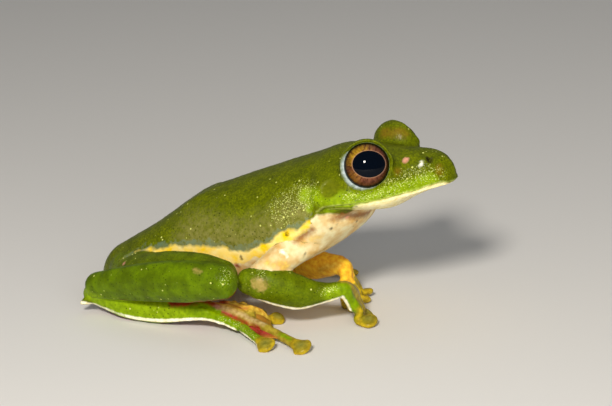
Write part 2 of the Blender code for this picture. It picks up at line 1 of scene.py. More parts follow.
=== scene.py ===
"""A Malabar gliding frog, life size: one moist skin over the whole body, with eyes and webs apart.

Lengths in the tables are millimetres in the frog's own frame: +X forward, +Y its left, +Z up,
Z = 0 on the floor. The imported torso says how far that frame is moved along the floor.
"""

import math

import bpy
import numpy as np
from mathutils import Matrix, Vector, noise
from mathutils.bvhtree import BVHTree


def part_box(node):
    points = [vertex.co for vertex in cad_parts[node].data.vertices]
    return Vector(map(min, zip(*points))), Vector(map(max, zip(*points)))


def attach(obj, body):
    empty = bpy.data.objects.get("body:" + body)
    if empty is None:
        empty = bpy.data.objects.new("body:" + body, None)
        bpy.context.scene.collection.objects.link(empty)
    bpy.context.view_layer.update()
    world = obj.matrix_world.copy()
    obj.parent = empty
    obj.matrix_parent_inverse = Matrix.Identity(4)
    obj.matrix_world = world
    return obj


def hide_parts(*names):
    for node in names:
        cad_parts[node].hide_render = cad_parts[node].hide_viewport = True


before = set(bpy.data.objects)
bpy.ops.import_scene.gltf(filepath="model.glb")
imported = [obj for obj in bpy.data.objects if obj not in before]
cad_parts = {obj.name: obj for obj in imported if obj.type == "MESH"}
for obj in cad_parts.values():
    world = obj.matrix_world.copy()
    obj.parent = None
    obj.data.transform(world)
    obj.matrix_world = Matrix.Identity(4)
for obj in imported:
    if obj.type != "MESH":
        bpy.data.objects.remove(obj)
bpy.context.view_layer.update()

MM = 0.001
RIGHT, LEFT = -1, 1
SIDE_NAMES = {RIGHT: "right", LEFT: "left"}
X_AXIS, Y_AXIS, Z_AXIS = np.eye(3)

# Torso: x, top, height of the widest line, bottom, half width
TORSO_STATIONS = [
    (-41.0, 4.6, 3.9, 3.3, 0.9), (-40.2, 6.6, 4.6, 2.4, 2.2), (-38.6, 8.7, 5.2, 1.8, 3.9),
    (-35.0, 11.0, 6.2, 1.5, 5.9), (-29.0, 14.8, 8.2, 1.9, 7.6), (-20.8, 20.7, 10.8, 3.0, 9.3),
    (-13.7, 23.8, 12.8, 4.2, 10.6), (-6.0, 26.7, 15.4, 6.4, 11.6), (1.0, 29.2, 18.6, 9.8, 12.0),
    (6.5, 30.9, 21.2, 13.2, 11.3), (10.3, 30.0, 22.0, 16.1, 8.8), (12.3, 27.4, 22.4, 18.1, 5.6),
    (13.4, 25.0, 22.6, 20.0, 2.8),
]
TORSO_BOXINESS = 2.15
TAIL_TIP_X = -41.3

# Head, in its own frame: x, top, bottom, half width at the lip, share of it lost at the crown
HEAD_ORIGIN = (8.0, 0.0, 23.6)
HEAD_PITCH = 7.0
HEAD_YAW = -3.0
HEAD_ROLL = -2.0
HEAD_STATIONS = [
    (-7.0, 4.6, -1.0, 7.5, 0.30), (-3.6, 7.0, -2.6, 11.0, 0.32), (0.0, 8.0, -2.5, 12.5, 0.36),
    (3.5, 8.0, -2.7, 12.6, 0.42), (7.0, 7.5, -3.1, 11.9, 0.46), (10.5, 7.0, -3.1, 10.2, 0.46),
    (14.0, 6.6, -1.75, 8.2, 0.42), (17.2, 6.1, -0.6, 6.0, 0.36), (19.2, 5.2, -0.2, 4.1, 0.34),
    (20.4, 4.0, 0.0, 2.4, 0.34), (21.0, 2.7, 0.1, 1.1, 0.30),
]
HEAD_WIDEST = 0.3
HEAD_BOXINESS = 2.5
# Line of the mouth in the head's frame: x, height
MOUTH_LINE = [
    (-2.0, -1.9), (-1.0, -1.45), (0.5, -0.78), (3.0, -0.58), (8.0, -0.47), (12.0, -0.2), (15.3, 0.22),
    (17.0, 0.48), (18.5, 0.72), (19.6, 0.66), (20.6, 0.3),
]

EYE_CENTRE = (7.6, 8.0, 5.6)
EYE_AXIS = (0.36, 0.90, 0.22)
EYE_RADIUS = 4.1
EYE_FRONT_SHARE = 0.9
EYE_BACK_SHARE = 0.7
LID_RADIUS = 4.8
EYE_OPENING = 3.88
EAR = (1.2, 11.3, 2.5)

# Limbs: x, y, z, half width, half height, and a roll in degrees where the section leans
UPPER_ARM = {
    RIGHT: [
        (4.4, -7.0, 16.2, 2.5, 2.7), (1.2, -10.0, 14.4, 2.6, 2.8), (-2.6, -12.6, 11.7, 2.3, 2.6),
        (-5.2, -13.9, 9.9, 2.0, 2.2),
    ],
    LEFT: [
        (4.0, 7.6, 15.4, 2.7, 2.9), (0.6, 9.8, 12.4, 2.6, 2.7), (-2.8, 10.2, 8.4, 2.3, 2.4),
        (-5.4, 9.6, 5.0, 2.0, 2.1),
    ],
}
FOREARM = {
    RIGHT: [
        (-6.4, -15.0, 9.4, 2.1, 2.4), (-4.6, -14.6, 9.1, 2.6, 3.0), (-2.0, -13.7, 8.6, 2.8, 3.2),
        (1.0, -12.6, 7.6, 2.7, 3.1), (4.0, -11.4, 6.8, 2.2, 2.5), (6.8, -10.5, 6.9, 1.6, 1.7),
        (9.2, -9.8, 7.3, 1.4, 1.4),
    ],
    LEFT: [
        (-6.2, 9.4, 4.3, 2.1, 2.2), (-3.6, 8.4, 5.0, 2.5, 2.7), (-0.4, 6.8, 5.8, 2.5, 2.7),
        (2.4, 5.5, 6.4, 2.1, 2.2), (4.6, 4.8, 6.8, 1.7, 1.8),
    ],
}
PALM = {
    RIGHT: [(9.9, -9.3, 7.3, 1.5, 1.5), (10.5, -8.0, 5.9, 2.1, 1.2), (10.8, -6.8, 4.5, 2.5, 0.95)],
    LEFT: [(5.4, 4.5, 6.7, 1.6, 1.6), (6.1, 4.0, 5.3, 2.1, 1.2), (6.5, 3.5, 4.0, 2.4, 0.95)],
}
# Digits: base, knuckle and disc centre on the floor, inner digit first
FINGERS = {
    RIGHT: [
        ((9.5, -4.6, 4.6), (8.9, -3.4, 2.4), (8.6, -0.8)),
        ((10.4, -5.2, 4.2), (10.5, -4.1, 2.1), (10.8, -2.0)),
        ((11.3, -6.4, 4.1), (11.8, -5.6, 2.2), (12.5, -4.2)),
        ((11.2, -8.0, 4.6), (12.2, -7.8, 2.4), (14.0, -7.9)),
    ],
    LEFT: [
        ((5.6, 1.9, 4.1), (6.2, 1.5, 2.1), (7.0, 0.2)), ((6.6, 2.5, 3.7), (7.4, 2.3, 1.9), (8.7, 2.0)),
        ((7.4, 3.5, 3.6), (8.3, 3.6, 1.9), (9.6, 3.9)), ((6.9, 5.0, 4.0), (7.6, 5.8, 2.1), (8.6, 7.2)),
    ],
}
THIGH = {
    RIGHT: [
        (-34.5, -3.4, 5.8, 3.7, 3.7), (-28.5, -9.0, 6.9, 4.0, 4.1), (-21.5, -13.0, 9.0, 3.7, 4.2),
        (-14.5, -16.2, 10.5, 3.2, 3.8), (-9.8, -18.2, 11.1, 2.6, 3.0),
    ],
    LEFT: [
        (-35.0, 3.4, 5.8, 3.7, 3.7), (-30.0, 8.8, 6.6, 4.0, 4.0), (-23.6, 12.6, 8.3, 3.7, 4.0),
        (-17.4, 15.6, 9.5, 3.2, 3.6), (-13.2, 17.4, 10.0, 2.6, 3.0),
    ],
}
SHANK = {
    RIGHT: [
        (-9.0, -20.9, 11.0, 2.8, 3.2), (-15.2, -19.8, 10.3, 3.2, 3.8), (-23.0, -17.8, 9.0, 3.1, 3.7),
        (-31.0, -15.2, 7.1, 2.6, 3.1), (-37.0, -13.0, 5.5, 2.2, 2.5),
    ],
    LEFT: [
        (-12.4, 20.0, 9.9, 2.8, 3.2), (-18.4, 19.0, 9.4, 3.2, 3.7), (-25.6, 17.2, 8.3, 3.1, 3.6),
        (-32.6, 14.8, 6.8, 2.6, 3.0), (-37.8, 12.8, 5.5, 2.2, 2.5),
    ],
}
TARSUS = {
    RIGHT: [
        (-38.4, -12.2, 3.7, 1.7, 1.8), (-33.5, -13.2, 2.9, 1.9, 2.3), (-28.5, -14.3, 2.35, 2.0, 2.4),
        (-23.5, -14.9, 2.5, 1.9, 2.5), (-18.0, -15.3, 3.15, 1.9, 2.05),
        (-13.8, -15.4, 3.4, 2.0, 1.5, 12.0),
    ],
    LEFT: [
        (-38.8, 11.8, 3.7, 1.7, 1.8), (-34.2, 12.8, 2.9, 1.9, 2.3), (-29.4, 13.8, 2.35, 2.0, 2.4),
        (-24.8, 14.4, 2.5, 1.9, 2.5), (-20.0, 14.9, 3.15, 1.9, 2.05),
        (-16.2, 15.0, 3.4, 2.0, 1.5, -12.0),
    ],
}
SOLE = {
    RIGHT: [
        (-13.0, -15.5, 3.4, 2.0, 1.35, 20.0), (-10.0, -15.7, 3.2, 2.6, 1.15, 33.0),
        (-7.4, -16.0, 2.5, 2.9, 0.95, 29.0),
    ],
    LEFT: [
        (-15.4, 15.1, 3.4, 2.0, 1.35, -20.0), (-12.5, 15.3, 3.2, 2.6, 1.15, -33.0),
        (-10.0, 15.6, 2.5, 2.9, 0.95, -29.0),
    ],
}
TOES = {
    RIGHT: [
        ((-10.0, -13.2, 4.0), (-10.0, -11.3, 2.0), (-9.8, -9.0)),
        ((-8.3, -13.2, 3.9), (-7.8, -10.6, 2.1), (-6.9, -7.6)),
        ((-6.5, -14.0, 3.5), (-5.1, -12.4, 2.3), (-2.8, -10.0)),
        ((-5.6, -16.1, 2.2), (-0.6, -18.8, 1.5), (6.4, -23.4)),
        ((-6.4, -18.2, 1.5), (-3.6, -20.9, 1.2), (-0.1, -23.9)),
    ],
    LEFT: [
        ((-12.6, 12.8, 4.0), (-12.6, 10.9, 2.0), (-12.4, 8.6)),
        ((-10.9, 12.8, 3.9), (-10.4, 10.2, 2.1), (-9.4, 7.2)),
        ((-9.1, 13.6, 3.5), (-7.7, 12.0, 2.3), (-5.4, 9.6)),
        ((-8.2, 15.7, 2.2), (-3.8, 17.0, 1.5), (2.4, 18.0)),
        ((-9.0, 17.8, 1.5), (-6.3, 20.1, 1.2), (-3.0, 22.2)),
    ],
}
DIGITS = {"finger": FINGERS, "toe": TOES}
DISC_SIZES = {"finger": [1.0, 1.2, 1.4, 1.85], "toe": [1.1, 1.3, 1.55, 1.9, 1.8]}
SHAFT_SIZES = {"finger": [0.65, 0.7, 0.75, 1.0], "toe": [0.65, 0.75, 0.8, 0.85, 0.85]}
SHAFT_HALF_HEIGHT = 0.75
DISC_HALF_HEIGHT = 0.8
DISC_TILT = {"finger": 29.0, "toe": 27.0}
FLOOR_TRIM = 0.25

# Skin fringes along the outer edges of forearm and tarsus, and the pointed flap at the heel
ARM_FRINGE = {
    RIGHT: [
        (-4.2, -15.4, 6.6, 0.3, 0.5), (-1.2, -14.6, 5.7, 0.34, 0.8), (2.4, -13.2, 4.75, 0.34, 0.75),
        (6.0, -11.5, 5.3, 0.3, 0.6), (9.0, -10.5, 6.1, 0.3, 0.5),
    ],
    LEFT: [
        (-3.8, 10.2, 3.0, 0.3, 0.5), (-0.6, 8.7, 3.4, 0.34, 0.8), (2.4, 7.0, 4.6, 0.34, 0.7),
        (4.4, 6.1, 5.4, 0.3, 0.5),
    ],
}
TARSUS_FRINGE = {
    RIGHT: [
        (-36.6, -13.4, 2.3, 0.4, 0.6), (-31.0, -15.4, 1.4, 0.35, 0.8), (-24.0, -16.5, 1.4, 0.35, 0.8),
        (-17.0, -17.0, 2.2, 0.3, 0.6), (-13.6, -17.3, 2.4, 0.3, 0.4), (-10.6, -17.7, 1.9, 0.25, 0.3),
    ],
    LEFT: [
        (-37.0, 13.0, 2.3, 0.4, 0.6), (-31.8, 14.9, 1.4, 0.35, 0.8), (-25.2, 15.9, 1.4, 0.35, 0.8),
        (-19.0, 16.5, 2.2, 0.3, 0.6), (-15.8, 16.9, 2.4, 0.3, 0.4), (-13.0, 17.3, 1.9, 0.25, 0.3),
    ],
}
CALCAR = {
    RIGHT: [(-37.4, -13.0, 3.0, 1.0, 1.0), (-39.2, -13.8, 2.5, 0.6, 0.7), (-39.9, -14.1, 2.25, 0.3, 0.35)],
    LEFT: [(-37.8, 12.6, 3.0, 1.0, 1.0), (-39.6, 13.3, 2.5, 0.6, 0.7), (-40.3, 13.6, 2.25, 0.3, 0.35)],
}
LIMBS = {
    "upper_arm": UPPER_ARM, "forearm": FOREARM,
    "palm": PALM, "thigh": THIGH,
    "shank": SHANK, "tarsus": TARSUS,
    "sole": SOLE, "arm_fringe": ARM_FRINGE,
    "tarsus_fringe": TARSUS_FRINGE, "calcar": CALCAR,
}
FACING = {"palm": X_AXIS}

WEB_SHARE = {"finger": 0.62, "toe": 0.80}
WEB_SCALLOP = 0.30
WEB_THICKNESS = 0.22

SKIN_VOXEL = 0.2
SKIN_TRIANGLES = 196000
FILL_ROUNDS = 260


def frog_shift():
    """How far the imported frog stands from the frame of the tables, in millimetres."""
    low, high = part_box("torso")
    return np.array([low.x / MM - TAIL_TIP_X, (low.y + high.y) / 2 / MM, 0.0])


SHIFT = frog_shift()


# Shapes from sections

def dense_rows(rows, per_span):
    """Catmull-Rom interpolation of rows of numbers, with the given number of steps in each span."""
    rows = np.array(rows, float)
    padded = np.vstack([2 * rows[0] - rows[1], rows, 2 * rows[-1] - rows[-2]])
    t = (np.arange(per_span) / per_span)[:, None]
    made = []
    for before, start, end, after in zip(padded, padded[1:], padded[2:], padded[3:]):
        square = 2 * before - 5 * start + 4 * end - after
        cube = 3 * start - before - 3 * end + after
        made.append(0.5 * (2 * start + (end - before) * t + square * t**2 + cube * t**3))
    made.append(rows[-1:])
    return np.vstack(made)


def unit(vector):
    vector = np.asarray(vector, float)
    return vector / np.linalg.norm(vector)


def ring(centre, side, up, half_width, rise, drop, boxiness=2.0, taper=0.0, count=32):
    """Points of a superellipse whose upper half can be drawn in towards its top."""
    angle = 2 * math.pi * (np.arange(count) + 0.5) / count
    across = np.sign(np.cos(angle)) * np.abs(np.cos(angle)) ** (2 / boxiness)
    above = np.sign(np.sin(angle)) * np.abs(np.sin(angle)) ** (2 / boxiness)
    width = half_width * (1 - taper * np.clip(above, 0, None))
    height = np.where(above > 0, rise, drop)
    return centre + np.outer(across * width, side) + np.outer(above * height, up)


class Flesh:
    """Closed lofts of the body's parts, gathered before they are fused to one skin."""

    def __init__(self):
        self.points = []
        self.faces = []
        self.labels = []
        self.names = []
        self.count = 0

    def add(self, name, rings, start_tip=None, end_tip=None):
        start_tip = rings[0].mean(0) if start_tip is None else start_tip
        end_tip = rings[-1].mean(0) if end_tip is None else end_tip
        sides = len(rings[0])
        first = self.count
        faces = []
        for i in range(len(rings) - 1):
            for j in range(sides):
                k = (j + 1) % sides
                low, high = first + i * sides, first + (i + 1) * sides
                faces.append((low + j, low + k, high + k, high + j))
        last = first + (len(rings) - 1) * sides
        tips = first + len(rings) * sides
        for j in range(sides):
            k = (j + 1) % sides
            faces.append((first + k, first + j, tips))
            faces.append((last + j, last + k, tips + 1))
        self.points += [*rings, start_tip[None], end_tip[None]]
        self.count = tips + 2
        self.names.append(name)
        self.labels += [len(self.names) - 1] * len(faces)
        self.faces += faces


def sections(stations, facing=Z_AXIS, per_span=8):
    """Steps along a limb: centre, direction, the axes across and above it, half width, half height."""
    rows = dense_rows([(*row, 0.0)[:6] for row in stations], per_span)
    centres = rows[:, :3]
    side = None
    made = []
    for i, centre in enumerate(centres):
        along = unit(centres[min(i + 1, len(centres) - 1)] - centres[max(i - 1, 0)])
        side = np.cross(along, facing) if side is None else side - along * (side @ along)
        side = unit(side)
        lean = math.radians(rows[i, 5])
        across = side * math.cos(lean) + np.cross(along, side) * math.sin(lean)
        made.append((centre, along, across, np.cross(across, along), rows[i, 3], rows[i, 4]))
    return made


def limb_rings(stations, facing=Z_AXIS, sides=32):
    """Rings along a limb, and its two rounded tips."""
    steps = sections(stations, facing)
    rings = [ring(c, across, above, w, h, h, count=sides) for c, _, across, above, w, h in steps]
    tips = []
    for sign, step in ((-1, steps[0]), (1, steps[-1])):
        centre, along, across, above, wide, high = step
        reach = max(min(wide, high), 0.8 * wide)
        for angle in np.radians((20, 40, 58, 73, 83)):
            middle = centre + along * sign * reach * math.sin(angle)
            small = math.cos(angle)
            cap = ring(middle, across, above, wide * small, high * small, high * small, count=sides)
            rings.insert(0 if sign < 0 else len(rings), cap)
        tips.append(centre + along * sign * reach)
    return rings, *tips


def head_matrix():
    yaw = Matrix.Rotation(math.radians(HEAD_YAW), 4, "Z")
    pitch = Matrix.Rotation(math.radians(-HEAD_PITCH), 4, "Y")
    roll = Matrix.Rotation(math.radians(HEAD_ROLL), 4, "X")
    return np.array(Matrix.Translation(HEAD_ORIGIN) @ yaw @ pitch @ roll)


HEAD = head_matrix()


def from_head(point, side=LEFT):
    """A point of the head's frame in the frog's frame, mirrored for the right side."""
    x, y, z = point
    return HEAD[:3, :3] @ (x, y * side, z) + HEAD[:3, 3]


def to_head(points):
    return (points - HEAD[:3, 3]) @ HEAD[:3, :3]


def eye_frame(side):
    """Centre of one eye, and its axes: forward along the head, upward, and out of the eye."""
    centre = from_head(EYE_CENTRE, side)
    x, y, z = EYE_AXIS
    out = unit(HEAD[:3, :3] @ (x, y * side, z))
    forward = HEAD[:3, 0]
    forward = unit(forward - out * (forward @ out))
    return centre, forward, np.cross(forward, out) * side, out


def digit_stations(row, disc_half, half_width, tilt):
    """A digit from its base over its knuckle to a leaning disc on the floor."""
    base, knuckle = np.array(row[0]), np.array(row[1])
    lean = math.radians(tilt)
    height = math.hypot(disc_half * math.sin(lean), DISC_HALF_HEIGHT * math.cos(lean)) - FLOOR_TRIM
    centre = np.array((*row[2], height))
    back = (knuckle - centre) * (1, 1, 0)
    neck = centre + unit(back) * disc_half * 1.15 + Z_AXIS * 0.2
    return [
        (*base, half_width * 1.1, SHAFT_HALF_HEIGHT * 1.1, tilt * 0.3),
        (*knuckle, half_width, SHAFT_HALF_HEIGHT, tilt * 0.5),
        (*neck, half_width * 0.8 + disc_half * 0.2, DISC_HALF_HEIGHT * 0.85, tilt * 0.8),
        (*centre, disc_half, DISC_HALF_HEIGHT, tilt),
    ]


def all_digits(kind, side):
    tilt = DISC_TILT[kind] * -side
    rows = zip(DIGITS[kind][side], DISC_SIZES[kind], SHAFT_SIZES[kind])
    return [digit_stations(*row, tilt) for row in rows]


def spot(where, side):
    """A place on one side of the frog: in the head's frame, on the trunk, or on a limb's surface.

    On a limb the numbers are the share of its length and degrees round it: 0 faces outward,
    90 up, or forward on a palm.
    """
    name, *numbers = where
    if name == "head":
        return from_head(numbers, side)
    if name == "trunk":
        return np.array(numbers) * (1, side, 1)
    kind, _, number = name.partition("_")
    stations = all_digits(kind, side)[int(number) - 1] if kind in DIGITS else LIMBS[name][side]
    facing = FACING.get(name, Z_AXIS)
    steps = sections(stations, facing)
    centre, _, across, above, wide, high = steps[round(numbers[0] * (len(steps) - 1))]
    across = across * math.copysign(1, across[1] * side)
    above = above * math.copysign(1, above @ facing)
    angle = math.radians(numbers[1])
    return centre + across * wide * math.cos(angle) + above * high * math.sin(angle)


def route(part, places, side):
    """A smooth path through places of one part, or of several limbs, on one side of the frog."""
    path = np.array([spot(place if part == "limbs" else (part, *place), side) for place in places])
    return dense_rows(path, 4) if len(path) > 2 else path


def add_torso(flesh):
    rings = []
    for x, top, widest, bottom, half in dense_rows(TORSO_STATIONS, 8):
        middle = np.array([x, 0, widest])
        rings.append(
            ring(middle, Y_AXIS, Z_AXIS, half, top - widest, widest - bottom, TORSO_BOXINESS, count=96)
        )
    start = np.array([TAIL_TIP_X, 0, TORSO_STATIONS[0][2]])
    end = np.array([TORSO_STATIONS[-1][0] + 0.6, 0, TORSO_STATIONS[-1][2]])
    flesh.add("torso", rings, start, end)


def add_head(flesh):
    rings = []
    for x, top, bottom, half, taper in dense_rows(HEAD_STATIONS, 8):
        middle = np.array([x, 0, HEAD_WIDEST])
        sizes = (half, top - HEAD_WIDEST, HEAD_WIDEST - bottom)
        points = ring(middle, Y_AXIS, Z_AXIS, *sizes, HEAD_BOXINESS, taper, 96)
        rings.append(points @ HEAD[:3, :3].T + HEAD[:3, 3])
    flesh.add("head", rings, None, from_head((HEAD_STATIONS[-1][0] + 0.15, 0, 1.2)))


def ball_rings(centre, forward, up, out, radius, front, back, rings=18, sides=48):
    made = []
    for angle in np.radians(np.linspace(-87, 87, rings)):
        share = back if angle < 0 else front
        middle = centre + out * radius * share * math.sin(angle)
        size = radius * math.cos(angle)
        made.append(ring(middle, forward, up, size, size, size, count=sides))
    return made, centre - out * radius * back, centre + out * radius * front


def gather_flesh():
    flesh = Flesh()
    add_torso(flesh)
    add_head(flesh)
    for side, label in SIDE_NAMES.items():
        ball = ball_rings(*eye_frame(side), LID_RADIUS, EYE_FRONT_SHARE, EYE_BACK_SHARE)
        flesh.add(f"lid_{label}", *ball)
        for name, table in LIMBS.items():
            flesh.add(f"{name}_{label}", *limb_rings(table[side], FACING.get(name, Z_AXIS)))
        for kind in DIGITS:
            for i, stations in enumerate(all_digits(kind, side)):
                flesh.add(f"{kind}_{i + 1}_{label}", *limb_rings(stations))
    return flesh


# The skin's mesh

def new_object(name, points, faces, scale=MM):
    mesh = bpy.data.meshes.new(name)
    mesh.from_pydata((np.asarray(points) * scale).tolist(), [], faces)
    mesh.update()
    obj = bpy.data.objects.new(name, mesh)
    bpy.context.scene.collection.objects.link(obj)
    return obj


def apply_modifiers(obj):
    graph = bpy.context.evaluated_depsgraph_get()
    done = bpy.data.meshes.new_from_object(obj.evaluated_get(graph))
    obj.modifiers.clear()
    obj.data = done


def positions(mesh):
    values = np.empty(len(mesh.vertices) * 3)
    mesh.vertices.foreach_get("co", values)
    return values.reshape(-1, 3)


def set_positions(mesh, points):
    mesh.vertices.foreach_set("co", points.ravel())
    mesh.update()


def normals_of(mesh):
    values = np.empty(len(mesh.vertices) * 3)
    mesh.vertex_normals.foreach_get("vector", values)
    return values.reshape(-1, 3)


def store(mesh, name, values):
    layer = mesh.attributes.new(name, "FLOAT", "POINT")
    layer.data.foreach_set("value", np.asarray(values, np.float32))


class Net:
    """The neighbours of chosen points of a mesh, for smoothing values and places over it."""

    def __init__(self, mesh, chosen=None):
        ends = np.empty(len(mesh.edges) * 2, int)
        mesh.edges.foreach_get("vertices", ends)
        ends = ends.reshape(-1, 2)
        pairs = np.vstack([ends, ends[:, ::-1]])
        if chosen is not None:
            pairs = pairs[chosen[pairs[:, 0]]]
        pairs = pairs[np.argsort(pairs[:, 0], kind="stable")]
        self.others = pairs[:, 1]
        self.rows, self.starts, self.degree = np.unique(pairs[:, 0], return_index=True, return_counts=True)

    def mean(self, values):
        total = np.add.reduceat(values[self.others], self.starts, axis=0)
        return (total.T / self.degree).T

    def blur(self, values, rounds):
        for _ in range(rounds):
            values = 0.5 * values + 0.5 * self.mean(values)
        return values

    def even(self, points, rounds):
        """Smooths out the small steps of the remesh without drawing the shape in."""
        for _ in range(rounds):
            points = points + 0.5 * (self.mean(points) - points)
            points = points - 0.52 * (self.mean(points) - points)
        return points


def smoothstep(low, high, values):
    t = np.clip((values - low) / (high - low), 0, 1)
    return t * t * (3 - 2 * t)


def near(points, centre, radius):
    """1 at the centre, falling smoothly to 0 at the radius."""
    distance = np.linalg.norm(points - np.asarray(centre), axis=1)
    return 1 - smoothstep(0.3 * radius, radius, distance)


def path_distance(points, path, reach):
    """Distance of each point to a line through the path's points, exact up to the reach."""
    path = np.atleast_2d(path)
    path = np.repeat(path, 2, 0) if len(path) == 1 else path
    best = np.full(len(points), 1e3)
    close = np.all((points > path.min(0) - reach) & (points < path.max(0) + reach), axis=1)
    chosen = points[close]
    found = np.full(len(chosen), 1e3)
    for start, end in zip(path, path[1:]):
        run = end - start
        share = np.clip((chosen - start) @ run / max(run @ run, 1e-9), 0, 1)
        found = np.minimum(found, np.linalg.norm(chosen - start - share[:, None] * run, axis=1))
    best[close] = found
    return best


def drift(points, size, seed=0.0):
    """Slow random variation over the given size in millimetres, from -1 to 1."""
    return np.array([noise.noise(p) for p in points / size + seed])


def fill_zones():
    """Places where flesh runs on in one sweep: centre, radius, strength."""
    zones = [((5.0, 0.0, 23.0), 17.0, 1.0), ((-37.0, 0.0, 6.0), 9.0, 0.3)]
    for side in (RIGHT, LEFT):
        start, end = ({name: np.array(table[side][i][:3]) for name, table in LIMBS.items()} for i in (0, -1))
        zones += [
            (start["upper_arm"], 9.0, 1.0),
            ((end["upper_arm"] + start["forearm"]) / 2, 4.5, 0.9),
            (start["thigh"], 11.0, 1.0),
            ((end["thigh"] + start["shank"]) / 2, 5.6, 1.0),
            ((end["shank"] + start["tarsus"]) / 2, 3.6, 1.0),
            ((end["tarsus"] + start["sole"]) / 2, 3.6, 1.0),
            (end["sole"], 4.5, 0.8),
            (end["forearm"], 3.2, 1.0),
            (end["palm"], 3.5, 0.7),
            (start["calcar"], 2.5, 0.6),
            (from_head(EYE_CENTRE, side), 8.0, 1.0),
        ]
        for name in ("arm_fringe", "tarsus_fringe"):
            zones += [(row[:3], 2.2, 0.35) for row in LIMBS[name][side]]
    return zones


def fuse(flesh):
    """Fuses the lofts to one closed skin and rounds the creases where flesh runs on."""
    body = new_object("skin", np.vstack(flesh.points), flesh.faces, 1.0)
    remesh = body.modifiers.new("Fuse", "REMESH")
    remesh.mode = "VOXEL"
    remesh.voxel_size = SKIN_VOXEL
    apply_modifiers(body)
    net = Net(body.data)
    points = net.even(positions(body.data), 6)
    strength = np.zeros(len(points))
    for centre, radius, share in fill_zones():
        strength = np.maximum(strength, share * near(points, centre, radius))
    part = Net(body.data, strength > 0)
    share = strength[part.rows][:, None]
    for step in range(FILL_ROUNDS):
        if step % 20 == 0:
            set_positions(body.data, points)
            normals = normals_of(body.data)[part.rows]
        move = part.mean(points) - points[part.rows]
        lift = normals * np.einsum("ij,ij->i", move, normals)[:, None]
        outward = np.einsum("ij,ij->i", lift, normals)[:, None] > 0
        points[part.rows] += share * (np.where(outward, lift, 0) + 0.2 * (move - lift))
    set_positions(body.data, net.even(points, 3))
    return body


def part_of_points(flesh, points):
    """The index of the loft that each point lies nearest to."""
    tree = BVHTree.FromPolygons(np.vstack(flesh.points).tolist(), flesh.faces)
    return np.array([flesh.labels[tree.find_nearest(p)[2]] for p in points])


# Sculpting

# Ridges, swellings and creases on both sides: the part they are on, or limbs where each place names
# its own, then places, half width, height
STROKES = [
    # Brow ridge, hollow before the eye, and the fold from the eye over the ear
    ("head", [(11.6, 8.2, 6.6), (14.0, 5.8, 6.1), (16.6, 3.6, 5.5)], 0.8, 0.34),
    ("head", [(12.5, 8.6, 3.4), (15.5, 6.2, 3.0)], 1.6, -0.34),
    ("head", [(3.4, 11.4, 5.0), (1.0, 12.0, 5.2), (-1.4, 12.2, 3.8), (-2.6, 12.3, 1.4)], 0.6, 0.3),
    ("head", [(3.0, 11.9, 3.9), (1.0, 12.3, 4.4), (-1.0, 12.4, 3.0), (-1.8, 12.4, 1.0)], 0.35, -0.12),
    # Nostril, and the soft bump under it
    ("head", [(17.2, 3.1, 4.8)], 0.85, 0.3),
    ("head", [(16.4, 3.7, 4.6)], 0.45, 0.16),
    ("head", [(17.6, 2.8, 4.9)], 0.36, -0.85),
    ("head", [(19.4, 2.6, 3.2)], 0.6, 0.2),
    # Neck fold and the swelling of the head's rear edge
    ("trunk", [(3.3, 6.7, 28.4), (3.8, 9.5, 26.5), (4.4, 11.0, 24.1), (4.7, 11.6, 21.9)], 0.8, -0.3),
    ("trunk", [(5.5, 8.9, 27.7), (5.6, 10.6, 26.0), (6.0, 11.9, 23.6), (6.3, 11.3, 21.9)], 1.1, 0.22),
    # Throat fold behind the jaw, and the breast folds
    ("trunk", [(7.5, 9.6, 20.6), (10.5, 8.2, 20.3), (14.0, 6.2, 20.6)], 0.45, -0.22),
    ("trunk", [(4.9, 11.4, 18.7), (2.6, 11.5, 17.1), (0.6, 11.3, 15.4)], 0.5, -0.2),
    # Hip bones under the skin of the back, and the spine's soft furrow
    ("trunk", [(-22.5, 3.6, 19.2), (-18.6, 3.3, 21.4)], 1.3, 0.32),
    ("trunk", [(-34.7, 7.0, 8.8), (-33.0, 7.3, 9.8), (-31.5, 7.6, 10.6)], 0.4, -0.22),
    # Edge of the shank over its crease, knee and ankle
    ("shank", [(1.0, -35), (0.75, -48), (0.5, -58), (0.25, -62)], 0.45, 0.16),
    ("shank", [(0.05, 75), (0.5, 68), (0.85, 72)], 0.6, 0.14),
    # Tendons and furrows from the ankle to the toes
    ("limbs", [("tarsus", 0.9, 105), ("sole", 0.3, 100), ("sole", 0.9, 97), ("toe_4", 0.2, 90),
               ("toe_4", 0.5, 90)], 0.5, 0.22),
    ("limbs", [("tarsus", 0.95, 60), ("sole", 0.3, 62), ("sole", 0.8, 66),
               ("toe_5", 0.15, 130)], 0.35, -0.24),
    ("limbs", [("tarsus", 0.95, 128), ("sole", 0.4, 128), ("sole", 1.0, 122)], 0.3, -0.22),
    ("limbs", [("sole", 0.1, 145), ("sole", 0.9, 142), ("toe_3", 0.3, 100)], 0.45, 0.18),
    ("limbs", [("palm", 0.1, 60), ("palm", 0.8, 50), ("finger_4", 0.3, 70)], 0.5, 0.14),
    ("limbs", [("palm", 0.2, 110), ("palm", 0.9, 105), ("finger_3", 0.3, 80)], 0.45, 0.14),
    ("palm", [(0.3, 85), (1.0, 80)], 0.35, -0.14),
]


# Mouth: its groove, the upper lip over it, and how far the jaw lies in under the lip
GROOVE_DEPTH, GROOVE_WIDTH = 0.34, 0.17
LIP_RISE, LIP_HEIGHT, LIP_WIDTH = 0.14, 0.5, 0.38
JAW_INSET, JAW_INSET_AHEAD = 0.06, 0.08
# Tympanum: a shallow dish with a raised rim
EAR_DEPTH, EAR_RADIUS = 0.16, 1.8
EAR_RIM_RISE, EAR_RIM_RADIUS, EAR_RIM_WIDTH = 0.1, 2.0, 0.3
DISC_RELIEF = 0.07
